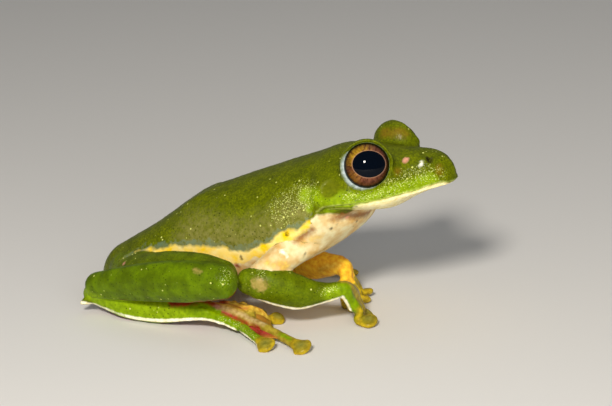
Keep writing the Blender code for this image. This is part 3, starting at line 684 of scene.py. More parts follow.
# Pale ledge round the eye: least breadth, how much more behind and below, and the middle of that in degrees
LEDGE_LEAST, LEDGE_MORE, LEDGE_WAY = 0.17, 0.54, 205
# Lids, as heights over the eye's centre: pocket round the eyeball, step up to the ledge, its two rises
POCKET_HEIGHT, LEDGE_STEP, LEDGE_SLOPE, LID_RISE = -1.6, 2.2, 0.2, 0.3
UNCUT_RISE = 9.0
EYE_REACH, EYE_HEIGHT = 6.5, 6.0
LID_ROUNDS = 24
# Folds and grain of the skin: height and size; they are 0.6 weaker round the head
FOLD_HEIGHT, FOLD_SIZE = 0.05, 1.7
GRAIN_HEIGHT, GRAIN_SIZE = 0.03, 0.8
SMOOTH_HEAD = ((16.0, 0.0, 28.0), 16.0, 0.6)


def over_mouth(local):
    """Height over the line of the mouth, for points in the head's frame."""
    return local[:, 2] - np.interp(local[:, 0], *np.transpose(MOUTH_LINE))


def bell(distance, width):
    """1 on a line, falling smoothly to nothing at about twice the width."""
    return np.exp(-((distance / width) ** 2))


def sculpt_body(points, normals):
    """Mouth line, lips, ridges and folds, alike on both sides."""
    local = to_head(points)
    over = over_mouth(local)
    on_head = smoothstep(-2.2, -0.6, local[:, 0]) * (np.abs(over) < 3.0)
    inset = JAW_INSET + JAW_INSET_AHEAD * smoothstep(6.0, 16.0, local[:, 0])
    height = -GROOVE_DEPTH * bell(over, GROOVE_WIDTH)
    height += LIP_RISE * bell(over - LIP_HEIGHT, LIP_WIDTH)
    height -= inset * (1 - smoothstep(-0.12, 0.1, over)) * smoothstep(-2.6, -1.4, over)
    height = height * on_head
    for side in (RIGHT, LEFT):
        for part, places, width, rise in STROKES:
            height += rise * bell(path_distance(points, route(part, places, side), 2.5 * width), width)
        ear = path_distance(points, from_head(EAR, side), 3.0)
        height -= EAR_DEPTH * (1 - smoothstep(1.3, EAR_RADIUS, ear))
        height += EAR_RIM_RISE * bell(ear - EAR_RIM_RADIUS, EAR_RIM_WIDTH)
        for kind, sizes in DISC_SIZES.items():
            for i, disc in enumerate(sizes):
                away = path_distance(points, spot((f"{kind}_{i + 1}", 1.0, 90), side), 2 * disc)
                height += DISC_RELIEF * bell(away - 0.85 * disc, 0.4) - DISC_RELIEF * bell(away, 0.6 * disc)
    return points + normals * height[:, None]


def ledge_width(angle):
    """Breadth of the pale ledge round the eye: broad behind and below, narrow in front and above."""
    return LEDGE_LEAST + LEDGE_MORE * smoothstep(0.3, 1.0, np.cos(angle - math.radians(LEDGE_WAY)))


def sculpt_eyes(mesh, points):
    """Opens the lids round each eye, down to a pocket behind the eyeball's front."""
    soft = np.zeros(len(points))
    for side in (RIGHT, LEFT):
        centre, forward, up, out = eye_frame(side)
        offset = points - centre
        height = offset @ out
        u, v = offset @ forward, offset @ up
        across = np.hypot(u, v)
        outside = across - EYE_OPENING - ledge_width(np.arctan2(v, u))
        limit = POCKET_HEIGHT + LEDGE_STEP * smoothstep(-0.06, 0.06, across - EYE_OPENING)
        limit += LEDGE_SLOPE * smoothstep(-0.3, 0.0, outside) + LID_RISE * smoothstep(0.0, 0.35, outside)
        limit += UNCUT_RISE * smoothstep(0.5, 1.6, outside)
        cut = (across < EYE_REACH) & (height > limit) & (height < EYE_HEIGHT)
        points = points + out * np.where(cut, limit - height, 0.0)[:, None]
        lid = smoothstep(0.25, 0.8, outside) * (1 - smoothstep(1.6, 2.8, outside))
        soft += lid * (np.abs(height) < EYE_HEIGHT)
    net = Net(mesh, soft > 0)
    share = 0.5 * soft[net.rows][:, None]
    for _ in range(LID_ROUNDS):
        points[net.rows] += share * (net.mean(points) - points[net.rows])
    return points


def build_skin(flesh):
    body = fuse(flesh)
    mesh = body.data
    points = sculpt_body(positions(mesh), normals_of(mesh))
    points = sculpt_eyes(mesh, points)
    net = Net(mesh)
    points = points + 0.35 * (net.mean(points) - points)
    set_positions(mesh, points)
    folds = FOLD_HEIGHT * drift(points, FOLD_SIZE) + GRAIN_HEIGHT * drift(points, GRAIN_SIZE, 5.0)
    centre, radius, share = SMOOTH_HEAD
    points = points + normals_of(mesh) * (folds * (1 - near(points, centre, radius) * share))[:, None]
    points[:, 2] = np.maximum(points[:, 2], 0.0)
    set_positions(mesh, points)
    mesh.calc_loop_triangles()
    thin = body.modifiers.new("Thin", "DECIMATE")
    thin.ratio = min(1.0, SKIN_TRIANGLES / len(mesh.loop_triangles))
    apply_modifiers(body)
    body.data.shade_smooth()
    return body


# Where each colour of the skin lies

# Upper edge of the pale flank and throat on the trunk: x, height
PALE_EDGE = [(-45, -9), (-36, -6), (-33.5, 5), (-31.8, 9.9), (-26.4, 11.8), (-22.4, 13.0), (-15.7, 13.8),
             (-8.6, 13.8), (-4.5, 15.4), (-0.7, 18.0), (2.6, 19.1), (3.3, 19.5), (4.3, 20.1), (5.3, 20.8),
             (6.3, 21.9), (8.0, 22.5), (14.0, 24.0)]
# How far below the mouth the green runs on the jaw, in the head's frame: x, millimetres
GREEN_JAW = [(-2.0, 0.4), (0.4, 1.4), (1.7, 2.0), (3.0, 2.2), (5.5, 1.1), (8.5, 0.0)]
# Lower edge of the yellow stripe
STRIPE_LOW = [(-45, 5.0), (-22.4, 9.0), (-9.0, 11.2), (-4.9, 13.0), (-0.9, 15.1), (2.8, 17.5), (4.8, 18.9)]
SOFT = ("lime", "wet", "shine")  # painted with a wide soft edge
PEARL_WAY = 220  # degrees round the eye to the middle of its bluish white
EDGE_BAND = 0.8  # mm on each side of a colour's edge, over which its value falls from 1 to 0

# Lines and patches of colour on both sides: colour, the part they are on, places, half width
PAINT = [
    ("fringe", "limbs", [("calcar", 1.0, 0), ("calcar", 0.5, -20), ("tarsus_fringe", 0.0, -30),
                         ("tarsus_fringe", 0.33, -30), ("tarsus_fringe", 0.6, -30),
                         ("tarsus_fringe", 0.8, -30), ("tarsus_fringe", 1.0, -30),
                         ("sole", 1.0, -3)], 0.36),
    ("fringe", "limbs", [("sole", 0.3, -2), ("sole", 1.0, 3), ("toe_5", 0.2, -5), ("toe_5", 0.5, -5),
                         ("toe_5", 0.8, 0)], 0.25),
    ("fringe", "arm_fringe", [(0.0, -40), (0.25, -40), (0.5, -40), (0.75, -40), (1.0, -40)], 0.34),
    ("fringe", "palm", [(0.0, 0), (0.5, 0), (1.0, 0)], 0.26),
    ("fringe", "calcar", [(1.0, 0), (1.0, 180)], 0.45),
    ("lime", "limbs", [("tarsus", 0.0, 20), ("tarsus", 0.5, 10), ("tarsus", 1.0, 20), ("sole", 0.5, 20),
                       ("sole", 1.0, 30), ("toe_5", 0.3, 60), ("toe_5", 0.6, 60)], 1.9),
    ("lime", "head", [(-3.5, 11.2, 1.6), (-0.8, 11.2, 0.8), (4.3, 12.2, 0.5), (9.3, 10.6, 0.4),
                      (14.1, 7.9, 1.0), (18.0, 5.0, 1.4)], 2.4),
    ("lime", "trunk", [(5.5, 11.0, 23.5), (4.4, 10.9, 22.6)], 1.2),
    ("lip", "head", [(0.4, 11.1, -0.9), (3.0, 11.4, -1.1), (5.5, 11.0, -1.1)], 0.3),
    ("lime", "head", [(0.4, 10.9, -1.4), (3.0, 11.2, -1.5), (5.5, 10.8, -1.4)], 1.3),
    ("lime", "forearm", [(0.9, -5), (1.0, 10)], 2.2),
    ("lime", "limbs", [("palm", 0.0, 30), ("palm", 0.6, 25), ("finger_4", 0.2, 45),
                       ("finger_4", 0.55, 60)], 1.0),
    ("green", "limbs", [("palm", 0.0, 30), ("palm", 0.6, 25), ("finger_4", 0.2, 45),
                        ("finger_4", 0.6, 60)], 0.9),
    ("green", "limbs", [("sole", 0.0, 20), ("sole", 0.5, 22), ("sole", 1.0, 30), ("toe_5", 0.3, 60),
                        ("toe_5", 0.6, 70)], 1.5),
    ("green", "limbs", [("tarsus", 0.85, 40), ("tarsus", 1.0, 30), ("sole", 0.3, 30)], 1.6),
    # Orange-umber paint in the breast fold, partly its own tone and partly painted shade in the crease
    ("brown", "trunk", [(4.9, 11.4, 18.7), (2.6, 11.5, 17.1), (0.6, 11.3, 15.4)], 0.55),
    # Painted shade in the throat fold behind the jaw
    ("brown", "trunk", [(8.0, 9.8, 20.9), (11.0, 8.6, 20.9), (15.0, 6.4, 21.2)], 0.7),
    ("earth", "head", [(6.4, -5.3, 8.5), (8.5, -4.9, 8.5), (10.4, -5.4, 8.3)], 0.9),
    ("earth", "head", [(12.5, 6.3, 3.8)], 0.7),
    ("crimson", "shank", [(0.45, -88), (0.2, -85), (0.0, -80)], 0.9),
    ("crimson", "limbs", [("tarsus", 0.6, 100), ("tarsus", 0.8, 98), ("tarsus", 1.0, 92),
                          ("sole", 0.2, 90)], 0.5),
    ("crimson", "limbs", [("sole", 0.4, 70), ("sole", 0.9, 70), ("toe_4", 0.15, 10)], 0.4),
    ("gold", "limbs", [("sole", 0.1, 112), ("sole", 0.6, 112), ("toe_3", 0.1, 90),
                       ("toe_3", 0.5, 90)], 0.9),
    ("gold", "limbs", [("sole", 0.3, 140), ("toe_2", 0.1, 90), ("toe_2", 0.5, 90)], 0.7),
    ("pink", "limbs", [("sole", 0.1, 88), ("sole", 0.5, 90), ("sole", 1.0, 92), ("toe_4", 0.2, 88)], 0.34),
    ("crimson", "limbs", [("sole", 0.1, 126), ("sole", 0.9, 124), ("toe_3", 0.1, 120)], 0.16),
    ("green", "toe_4", [(0.45, 80), (0.75, 85)], 0.35),
    # Wet zones: moist granules with less roughness, each tip also given a painted glint of pale colour
    ("wet", "head", [(11.4, 9.3, 1.6), (14.0, 6.8, 2.4), (17.1, 4.8, 2.9), (19.0, 3.6, 2.5)], 2.9),
    ("wet", "head", [(4.3, 11.8, 0.9), (8.0, 11.0, 0.8), (12.0, 8.9, 0.9)], 1.5),
    ("wet", "trunk", [(3.5, 10.4, 25.0), (1.2, 10.6, 23.9), (-0.8, 11.0, 22.0)], 5.0),
    ("shine", "head", [(16.4, 3.7, 4.6)], 0.7),
    # Painted shade: a dark spot in the nostril's pit
    ("dark", "head", [(17.6, 3.0, 4.95)], 0.7),
    # Painted highlight: a pale patch beside the nostril where a glint of light would sit
    ("glow", "head", [(16.4, 3.8, 4.75), (16.2, 4.0, 4.3)], 0.24),
    ("earth", "head", [(19.3, 2.9, 3.3), (19.2, 3.2, 2.7)], 0.6),
    # Painted shade on the underside between the jaw and the throat
    ("brown", "head", [(1.7, 9.2, -2.9), (3.0, 7.5, -3.5), (3.9, 5.2, -4.0), (4.6, 2.7, -4.4)], 0.8),
    # These wet zones also carry painted glints on their granule tips
    ("wet", "forearm", [(0.1, 60), (0.2, 50)], 1.3),
    ("wet", "forearm", [(0.8, 20), (0.95, 35)], 1.3),
    ("wet", "limbs", [("sole", 0.4, 35), ("sole", 1.0, 50), ("toe_5", 0.5, 80)], 0.9),
]
# Single marks of this frog: colour, places in the frog's frame, half width
MARKS = [
    ("scar", [(20.6, -4.3, 31.0), (20.5, -4.9, 30.5)], 0.42),
    ("scar", [(-33.6, -9.1, 8.9), (-32.6, -9.2, 8.9)], 0.3),
    # Wet granules on the knee, with painted glints on their tips
    ("wet", [(-7.4, -22.0, 13.8), (-7.6, -23.2, 12.4)], 1.5),
    ("tan", [(-13.5, -22.0, 13.3), (-12.9, -22.2, 12.9)], 0.35),
    ("tan", [(-3.9, -17.0, 9.8), (-3.2, -16.9, 9.3)], 1.05),
    ("earth", [(-2.6, -16.9, 10.2), (-2.4, -16.9, 9.6)], 0.5),
    ("scar", [(10.5, -8.2, 20.5)], 0.4),
    ("dark", [(13.4, -11.8, 23.9)], 0.3),
    ("dark", [(11.5, -5.7, 19.0)], 0.2),
    ("dark", [(10.9, -5.8, 18.2)], 0.15),
    ("green", [(10.3, -10.4, 7.8), (10.9, -9.9, 6.2), (11.4, -8.9, 4.1), (12.2, -8.6, 2.2),
               (12.8, -9.0, 1.5)], 1.1),
    ("fringe", [(9.6, -10.4, 6.2), (10.0, -9.7, 4.9), (10.5, -9.0, 3.3)], 0.24),
    ("crimson", [(-20.8, -16.3, 4.5), (-15.2, -17.0, 5.6)], 0.7),
    ("crimson", [(-15.2, -21.3, 6.5), (-11.9, -22.2, 7.3), (-9.1, -22.4, 7.8)], 0.35),
    ("crimson", [(-12.6, -14.6, 5.2), (-11.4, -14.8, 5.1)], 0.8),
    # Painted highlight: a pale patch on the chest
    ("glow", [(-0.3, -13.2, 15.0), (0.4, -13.1, 14.3)], 0.3),
    ("stripe", [(-31.4, -6.8, 10.3), (-29.9, -6.7, 10.7), (-28.4, -7.2, 11.3)], 0.32),
    ("teal", [(-33.8, -7.1, 9.5), (-31.6, -7.0, 10.8), (-29.2, -7.0, 11.6)], 0.3),
    ("flank", [(-34.7, -7.1, 8.7), (-33.0, -7.2, 9.7), (-32.1, -5.9, 10.1)], 0.22),
    ("gold", [(-2.4, -14.3, 12.9), (0.2, -13.3, 12.3)], 0.6),
    ("gold", [(4.5, -10.4, 17.0), (6.0, -9.9, 17.8)], 0.6),
    ("gold", [(1.0, 3.8, 5.9), (3.1, 3.3, 6.8), (5.1, 3.3, 7.3)], 0.6),
    ("amber", [(6.8, 3.5, 6.9), (7.0, 2.6, 5.6)], 1.7),
    ("shine", [(1.0, 3.8, 5.9), (5.1, 3.3, 7.3), (6.8, 3.3, 6.5)], 2.4),
    ("dark", [(-9.0, -11.0, 12.7), (-9.0, -11.0, 12.1)], 0.28),
    ("dark", [(3.5, -11.2, 14.4), (2.9, -11.4, 13.6)], 0.2),
    ("dark", [(7.9, -9.8, 18.7)], 0.3),
    ("dark", [(8.9, -9.4, 19.5)], 0.2),
    ("dark", [(0.3, -11.9, 17.8)], 0.42),
    ("crimson", [(-10.0, -10.4, 10.6)], 0.5),
]


def within(distance):
    return np.clip(0.5 - distance / (2 * EDGE_BAND), 0, 1)


class Masks:
    """Where each colour of the skin lies, as values on its points: 1 inside, 0.5 at its edge."""

    def __init__(self, points):
        self.points = points
        names = [row[0] for row in SKIN_LAYERS] + ["wet", "shine"]
        self.values = {name: np.zeros(len(points)) for name in names}

    def add(self, name, values):
        self.values[name] = np.maximum(self.values[name], values)

    def away(self, path, reach):
        return path_distance(self.points, path, reach)


def paint_zones(masks, flesh, net, normals):
    """The broad zones: pale flank and throat, jaw, limbs and digits."""
    points = masks.points
    labels = part_of_points(flesh, points)
    local = to_head(points)
    x, y, z = points.T

    def part(*stems):
        ids = [i for i, name in enumerate(flesh.names) if name.startswith(stems)]
        return net.blur(np.isin(labels, ids).astype(float), 4)

    wander = 0.45 * drift(points, 2.2) + 0.5 * drift(points, 0.9, 7.0)
    trunk = part("torso", "head", "lid")
    in_front = smoothstep(-2.6, -1.4, local[:, 0])
    over_edge = z - np.interp(x, *np.transpose(PALE_EDGE))
    jaw_edge = over_mouth(local) + np.interp(local[:, 0], *np.transpose(GREEN_JAW))
    over = over_edge * (1 - in_front) + jaw_edge * in_front
    ragged = (1 - in_front) * wander
    behind = 1 - smoothstep(4.2, 5.4, x)
    masks.add("stripe", np.minimum(within(over + ragged), trunk) * behind)
    low = z - np.interp(x, *np.transpose(STRIPE_LOW))
    pale = np.where(x < 4.8, within(low + 1.5 * ragged), 1.0) * within(over) * trunk
    masks.add("cream", np.maximum(pale, part("upper_arm")) * smoothstep(-36.5, -33.5, x))
    beside = 1 - smoothstep(1.0, 9.0, np.abs(over_edge))
    masks.add("flank", trunk * behind * beside * smoothstep(-27, -18, x))
    band = within(np.abs(over_edge + ragged - 0.35) - 0.55)
    masks.add("teal", np.minimum(trunk * behind, band) * smoothstep(-34, -30, x))
    masks.add("lip", in_front * within(np.abs(over_mouth(local) - 0.22) - 0.12))
    masks.add("jaw", smoothstep(3.5, 7.0, local[:, 0]) * within(np.abs(over_mouth(local) + 1.3) - 1.25))

    out, rising = normals[:, 1] * np.sign(y), normals[:, 2]
    hidden = 1 - smoothstep(-0.3, 0.3, 0.9 * out + 0.5 * rising + 0.3 * wander)
    far_arm = part("forearm_left", "palm_left") * (1 - smoothstep(0.1, 0.6, out))
    masks.add("amber", part("forearm") * hidden + far_arm)
    legs = part("thigh", "shank", "tarsus")
    masks.add("crimson", legs * (1 - smoothstep(-0.5, 0.0, 0.8 * out + 0.6 * rising + 0.3 * wander)))
    masks.add("lime", 0.95 * part("tarsus"))
    masks.add("leaf", part("shank", "tarsus", "sole") + 0.45 * part("thigh", "forearm", "upper_arm"))
    masks.add("ochre", part("palm", "finger", "toe", "sole"))
    masks.add("shine", 0.8 * part("toe", "finger", "sole", "palm"))


def paint_lines(masks):
    for name, part, places, reach in PAINT:
        for side in (RIGHT, LEFT):
            away = masks.away(route(part, places, side), reach + 2 * EDGE_BAND)
            soft = 1 - smoothstep(0.3 * reach, reach, away)
            masks.add(name, soft if name in SOFT else within(away - reach))
    for name, places, reach in MARKS:
        masks.add(name, within(masks.away(places, reach + 2 * EDGE_BAND) - reach))


def paint_discs(masks, side):
    for kind, sizes in DISC_SIZES.items():
        for i, disc in enumerate(sizes):
            away = masks.away(spot((f"{kind}_{i + 1}", 1.0, 90), side), 6.0)
            masks.add("olive", within(away - disc * 1.5))
            masks.add("disc_rim", within(np.abs(away - disc * 1.02) - 0.18))
            masks.add("disc_core", within(away - disc * 0.45))


def paint_eye_rim(masks, side):
    centre, forward, up, out = eye_frame(side)
    offset = masks.points - centre
    u, v = offset @ forward, offset @ up
    angle = np.arctan2(v, u)
    border = np.hypot(u, v) - EYE_OPENING - ledge_width(angle)
    rim = within(border) * smoothstep(-0.2, 0.3, offset @ out) * (np.abs(border) < 5)
    masks.add("rim", rim)
    masks.add("pearl", rim * smoothstep(-0.3, 0.5, np.cos(angle - math.radians(PEARL_WAY))))


def paint_masks(flesh, body):
    mesh = body.data
    masks = Masks(positions(mesh))
    paint_zones(masks, flesh, Net(mesh), normals_of(mesh))
    paint_lines(masks)
    for side in (RIGHT, LEFT):
        paint_discs(masks, side)
        masks.add("ear", within(masks.away(from_head(EAR, side), 5.0) - EAR_RADIUS - 0.05))
        paint_eye_rim(masks, side)
    for name, values in masks.values.items():
        store(mesh, name, np.clip(values, 0, 1))


# Materials

def linear(code):
    """A linear colour with alpha from an sRGB hex code."""
    parts = [int(code[i : i + 2], 16) / 255 for i in (1, 3, 5)]
    return (*(c / 12.92 if c <= 0.04045 else ((c + 0.055) / 1.055) ** 2.4 for c in parts), 1.0)


def new_material(name, colour, roughness, ior, **values):
    made = bpy.data.materials.new(name)
    made.use_nodes = True
    shader = made.node_tree.nodes["Principled BSDF"]
    settings = {"Base Color": linear(colour), "Roughness": roughness, "IOR": ior, **values}
    for socket, value in settings.items():
        shader.inputs[socket].default_value = value
    return made.node_tree, shader


def add_node(tree, kind, feeds=(), output=0, **settings):
    """Adds a node with its settings, feeds its live inputs in order or by name, and returns an output."""
    node = tree.nodes.new(kind)
    for name, value in settings.items():
        setattr(node, name, value)
    live = [socket for socket in node.inputs if socket.enabled]
    for key, value in feeds.items() if isinstance(feeds, dict) else enumerate(feeds):
        socket = node.inputs[key] if isinstance(key, str) else live[key]
        if isinstance(value, bpy.types.NodeSocket):
            tree.links.new(value, socket)
        else:
            socket.default_value = value
    return [socket for socket in node.outputs if socket.enabled][output]


ATTRIBUTE = "ShaderNodeAttribute"
BUMP = "ShaderNodeBump"
CELLS = "ShaderNodeTexVoronoi"
MATH = "ShaderNodeMath"
MIX = "ShaderNodeMix"
NOISE = "ShaderNodeTexNoise"
PLACE = "ShaderNodeTexCoord"
RANGE = "ShaderNodeMapRange"
VECTOR = "ShaderNodeVectorMath"
# Outputs by number: an attribute as one value, the object's own coordinates, a cell's random tone
VALUE, OBJECT, CHANCE = 2, 3, 1

# Colours of the skin from the lowest up: where, two tones, blotch size in mm, how far its edge
# wanders, softness of the edge, strength
SKIN_LAYERS = [
    ("leaf", "#5E7E00", "#465E00", 2.4, 0.3, 0.4, 0.7),
    ("flank", "#928C4E", "#6C6A2C", 0.8, 0.4, 0.4, 0.62),
    ("lime", "#9AB80A", "#7C9804", 0.8, 0.2, 0.45, 0.72),
    ("ear", "#6A7008", "#5A6204", 0.8, 0.2, 0.25, 0.85),
    ("earth", "#94681C", "#7A5A14", 0.8, 0.4, 0.35, 0.42),
    ("teal", "#6A8068", "#787C50", 0.8, 1.3, 0.15, 0.65),
    ("stripe", "#F0C80A", "#F2DE90", 2.4, 0.8, 0.2, 1.0),
    ("cream", "#E8DCAC", "#D4AC66", 2.4, 0.8, 0.16, 1.0),
    ("jaw", "#F6ECBC", "#E6D694", 0.8, 0.3, 0.14, 0.95),
    # Orange-umber tone, used as painted shade in the folds of breast and throat and under the jaw
    ("brown", "#8A5426", "#6A3C18", 0.8, 0.8, 0.3, 0.8),
    ("ochre", "#AE9C34", "#8E7A22", 0.8, 0.6, 0.3, 1.0),
    ("amber", "#FFD23A", "#EAA42C", 0.8, 0.6, 0.12, 1.0),
    ("gold", "#F0CC54", "#CE9A30", 0.8, 0.6, 0.3, 0.85),
    ("green", "#7E9C00", "#648000", 0.8, 0.5, 0.15, 1.0),
    ("olive", "#A08C18", "#7C7018", 0.8, 0.5, 0.3, 0.9),
    ("disc_core", "#86863E", "#6A6E2A", 0.8, 0.5, 0.35, 0.75),
    ("disc_rim", "#D6B824", "#BE981A", 0.8, 0.4, 0.3, 0.75),
    ("crimson", "#A02A1C", "#6E1610", 0.8, 0.5, 0.18, 0.95),
    ("pink", "#CCB28C", "#AA806A", 0.8, 0.6, 0.3, 0.68),
    ("fringe", "#FFFBE6", "#F2E8B8", 0.8, 0.2, 0.08, 1.0),
    ("lip", "#D0DA78", "#B0C048", 0.8, 0.2, 0.15, 0.8),
    ("rim", "#8C9C74", "#66784A", 0.8, 0.1, 0.05, 1.0),
    ("pearl", "#BECACE", "#94A49C", 0.8, 0.3, 0.2, 0.9),
    ("tan", "#B49A56", "#9A8A44", 0.8, 0.9, 0.25, 0.8),
    ("scar", "#DA9E82", "#C88A6A", 0.8, 0.3, 0.12, 0.95),
    # Painted highlight: near-white paint standing in for glints of light
    ("glow", "#FBFAEC", "#E6EAC8", 0.8, 0.9, 0.2, 0.95),
    # Black specks of this frog, and painted shade in the nostril's pit
    ("dark", "#1A1606", "#34320E", 0.8, 0.3, 0.12, 0.95),
]


GRANULE_SIZE = 0.4  # mm
GLINT_SIZE = 0.24  # mm; coarser than the real tips, which would be finer than a pixel
GRANULE_HEIGHT = 0.00009  # m


def skin_material():
    """Frog skin, wet and finely granular.

    Light sinks a little way into it, so its edges soften with light from within, and the film of slime
    glints on each granule; where it is wet, a painted highlight, a pale dot of colour, also sits on each
    granule's tip, and the hollows between granules carry painted shade.
    """
    wet_film = {"Coat Weight": 0.12, "Coat Roughness": 0.18, "Coat IOR": 1.33, "Specular IOR Level": 0.12}
    flesh = {"Subsurface Weight": 0.08, "Subsurface Scale": 0.0007, "Subsurface Radius": (1.0, 0.7, 0.3)}
    tree, shader = new_material("moist_frog_skin", "#66720A", 0.5, 1.4, **wet_film, **flesh)
    place = add_node(tree, PLACE, output=OBJECT)
    blotches = {}
    for size in (0.8, 2.4):
        feeds = {"Vector": place, "Scale": 1 / (size * MM), "Detail": 3.0}
        blotches[size] = add_node(tree, NOISE, feeds)

    # Green with a slow drift in depth, and painted shade, a darker green, in the hollows between granules
    tone = add_node(tree, RANGE, (blotches[2.4], 0.3, 0.7))
    colour = add_node(tree, MIX, (tone, linear("#5C6600"), linear("#747E00")), data_type="RGBA")
    tone = add_node(tree, RANGE, (blotches[0.8], 0.4, 0.68, 0.0, 0.45))
    colour = add_node(tree, MIX, (tone, colour, linear("#465000")), data_type="RGBA")
    granule = add_node(tree, CELLS, {"Vector": place, "Scale": 1 / (GRANULE_SIZE * MM)})
    painted_hollow_shade = add_node(tree, RANGE, (granule, 0.25, 0.75, 0.0, 0.55))
    colour = add_node(tree, MIX, (painted_hollow_shade, colour, linear("#3C4600")), data_type="RGBA")

    for mask, light, dark, size, wander, soft, strength in SKIN_LAYERS:
        value = add_node(tree, ATTRIBUTE, output=VALUE, attribute_name=mask)
        edge = add_node(tree, MATH, (blotches[size], wander, value), operation="MULTIPLY_ADD")
        middle = 0.5 + 0.5 * wander
        cover = add_node(tree, RANGE, (edge, middle - soft, middle + soft, 0.0, strength))
        tone = add_node(tree, RANGE, (blotches[size], 0.35, 0.65))
        two = add_node(tree, MIX, (tone, linear(dark), linear(light)), data_type="RGBA")
        colour = add_node(tree, MIX, (cover, colour, two), data_type="RGBA")
        if mask == "lime":
            colour = add_dots(tree, place, colour)

    # Wet granules: a painted highlight, a pale glint of colour on each tip, and less roughness
    wet = add_node(tree, ATTRIBUTE, output=VALUE, attribute_name="wet")
    feeds = {"Vector": place, "Scale": 1 / (GLINT_SIZE * MM)}
    cell = add_node(tree, CELLS, feeds)
    chance = add_node(tree, CELLS, feeds, output=CHANCE)
    tip = add_node(tree, MATH, (chance, wet), operation="MULTIPLY")
    tip = add_node(tree, MATH, (tip, -0.6, cell), operation="MULTIPLY_ADD")
    glint = add_node(tree, RANGE, (tip, -0.1, 0.04, 0.66, 0.0))
    colour = add_node(tree, MIX, (glint, colour, linear("#D6DE84")), data_type="RGBA")
    tree.links.new(colour, shader.inputs["Base Color"])

    dome = add_node(tree, MATH, (granule, 2.0), operation="POWER")
    amount = add_node(tree, MATH, (wet, 0.75, 0.25), operation="MULTIPLY_ADD")
    dome = add_node(tree, MATH, (dome, amount), operation="MULTIPLY")
    rise = add_node(tree, MATH, (blotches[0.8], 0.5, dome), operation="MULTIPLY_ADD")
    feeds = {"Height": rise, "Strength": 1.0, "Distance": GRANULE_HEIGHT}
    bump = add_node(tree, BUMP, feeds, invert=True)
    tree.links.new(bump, shader.inputs["Normal"])
    tree.links.new(bump, shader.inputs["Coat Normal"])
    shine = add_node(tree, ATTRIBUTE, output=VALUE, attribute_name="shine")
    slick = add_node(tree, MATH, (wet, shine), operation="MAXIMUM")
    rough = add_node(tree, MATH, (slick, -0.22, 0.5), operation="MULTIPLY_ADD")
    tree.links.new(rough, shader.inputs["Roughness"])
    return bpy.data.materials["moist_frog_skin"]


def add_dots(tree, place, colour):
    """Black pores and pale dots: size of their grid in mm, tone, and radius as a share of the grid."""
    for grid, dot_tone, least, most in ((0.75, "#2A3402", 0.08, 0.24), (1.5, "#DCE07A", 0.05, 0.11)):
        feeds = {"Vector": place, "Scale": 1 / (grid * MM)}
        cell = add_node(tree, CELLS, feeds)
        chance = add_node(tree, CELLS, feeds, output=CHANCE)
        size = add_node(tree, MATH, (chance, -0.12, cell), operation="MULTIPLY_ADD")
        dot = add_node(tree, RANGE, (size, least - 0.06, most - 0.06, 0.8, 0.0))
        colour = add_node(tree, MIX, (dot, colour, linear(dot_tone)), data_type="RGBA")
    return colour


# Pupil: centre forward and up from the iris's, half sizes and lean in degrees
PUPIL_CENTRE = (0.4, 0.15)
PUPIL_SIZES = (2.91, 2.38)
PUPIL_LEAN = -2


def eye_material():
    """Living eye under a clear wet cornea: an oval black pupil in a copper iris, gold above.

    The cornea alone shines, sharply, and the iris is streaked outwards from the pupil.
    """
    wet_front = {"Coat Weight": 0.5, "Coat Roughness": 0.03, "Coat IOR": 1.34, "Specular IOR Level": 0.0}
    tree, shader = new_material("wet_eye", "#0A0605", 0.3, 1.376, **wet_front)
    forward = add_node(tree, ATTRIBUTE, output=VALUE, attribute_name="forward_mm")
    upward = add_node(tree, ATTRIBUTE, output=VALUE, attribute_name="upward_mm")
    place = add_node(tree, "ShaderNodeCombineXYZ", (forward, upward))
    away = add_node(tree, VECTOR, (place,), operation="LENGTH")
    pupil = (place, (*PUPIL_CENTRE, 0.0), (0.0, 0.0, math.radians(PUPIL_LEAN)), (*PUPIL_SIZES, 1.0))
    oval = add_node(tree, "ShaderNodeMapping", pupil, vector_type="TEXTURE")
    oval = add_node(tree, VECTOR, (oval,), operation="LENGTH")
    course = add_node(tree, VECTOR, (place,), operation="NORMALIZE")
    spread = add_node(tree, VECTOR, {0: course, "Scale": 3.6}, operation="SCALE")
    bend = add_node(tree, VECTOR, {0: place, "Scale": 0.8}, operation="SCALE")
    streak_place = add_node(tree, VECTOR, (spread, bend), operation="ADD")
    feeds = {"Vector": streak_place, "Scale": 1.3, "Detail": 5.0, "Roughness": 0.6}
    streaks = add_node(tree, NOISE, feeds)
    tone = add_node(tree, RANGE, (streaks, 0.32, 0.68))
    colour = add_node(tree, MIX, (tone, linear("#34160C"), linear("#6E3A1E")), data_type="RGBA")
    # Tints round the iris: way from its middle, tone, where it starts, strength
    tints = (
        ((1.0, 0.1, 0.0), "#3A160C", 0.5, 1.0),
        ((0.0, -1.0, 0.0), "#7C4C36", 0.4, 1.0),
        ((0.5, 0.87, 0.0), "#8A5A44", 0.6, 0.8),
        ((-0.62, 0.78, 0.0), "#B08C1E", 0.4, 1.3),
        ((-0.75, -0.66, 0.0), "#A87A20", 0.88, 0.7),
    )
    for way, tint, low, most in tints:
        share = add_node(tree, VECTOR, (course, way), 0, operation="DOT_PRODUCT")
        share = add_node(tree, RANGE, (share, low, 1.0, 0.0, most))
        share = add_node(tree, MATH, (share, tone), operation="MULTIPLY")
        colour = add_node(tree, MIX, (share, colour, linear(tint)), data_type="RGBA")
    # Shade towards the rim, a pale seam round the pupil, the dark rim, and the pupil
    for from_middle, start, end, low, high, tint in (
        (away, 2.7, 3.7, 0.0, 0.6, "#2E120A"),
        (oval, 1.02, 1.07, 0.6, 0.0, "#B48A6C"),
        (away, 3.5, 3.8, 0.0, 1.0, "#0C0604"),
        (oval, 0.985, 1.015, 1.0, 0.0, "#010610"),
    ):
        share = add_node(tree, RANGE, (from_middle, start, end, low, high))
        colour = add_node(tree, MIX, (share, colour, linear(tint)), data_type="RGBA")
    tree.links.new(colour, shader.inputs["Base Color"])
    return bpy.data.materials["wet_eye"]


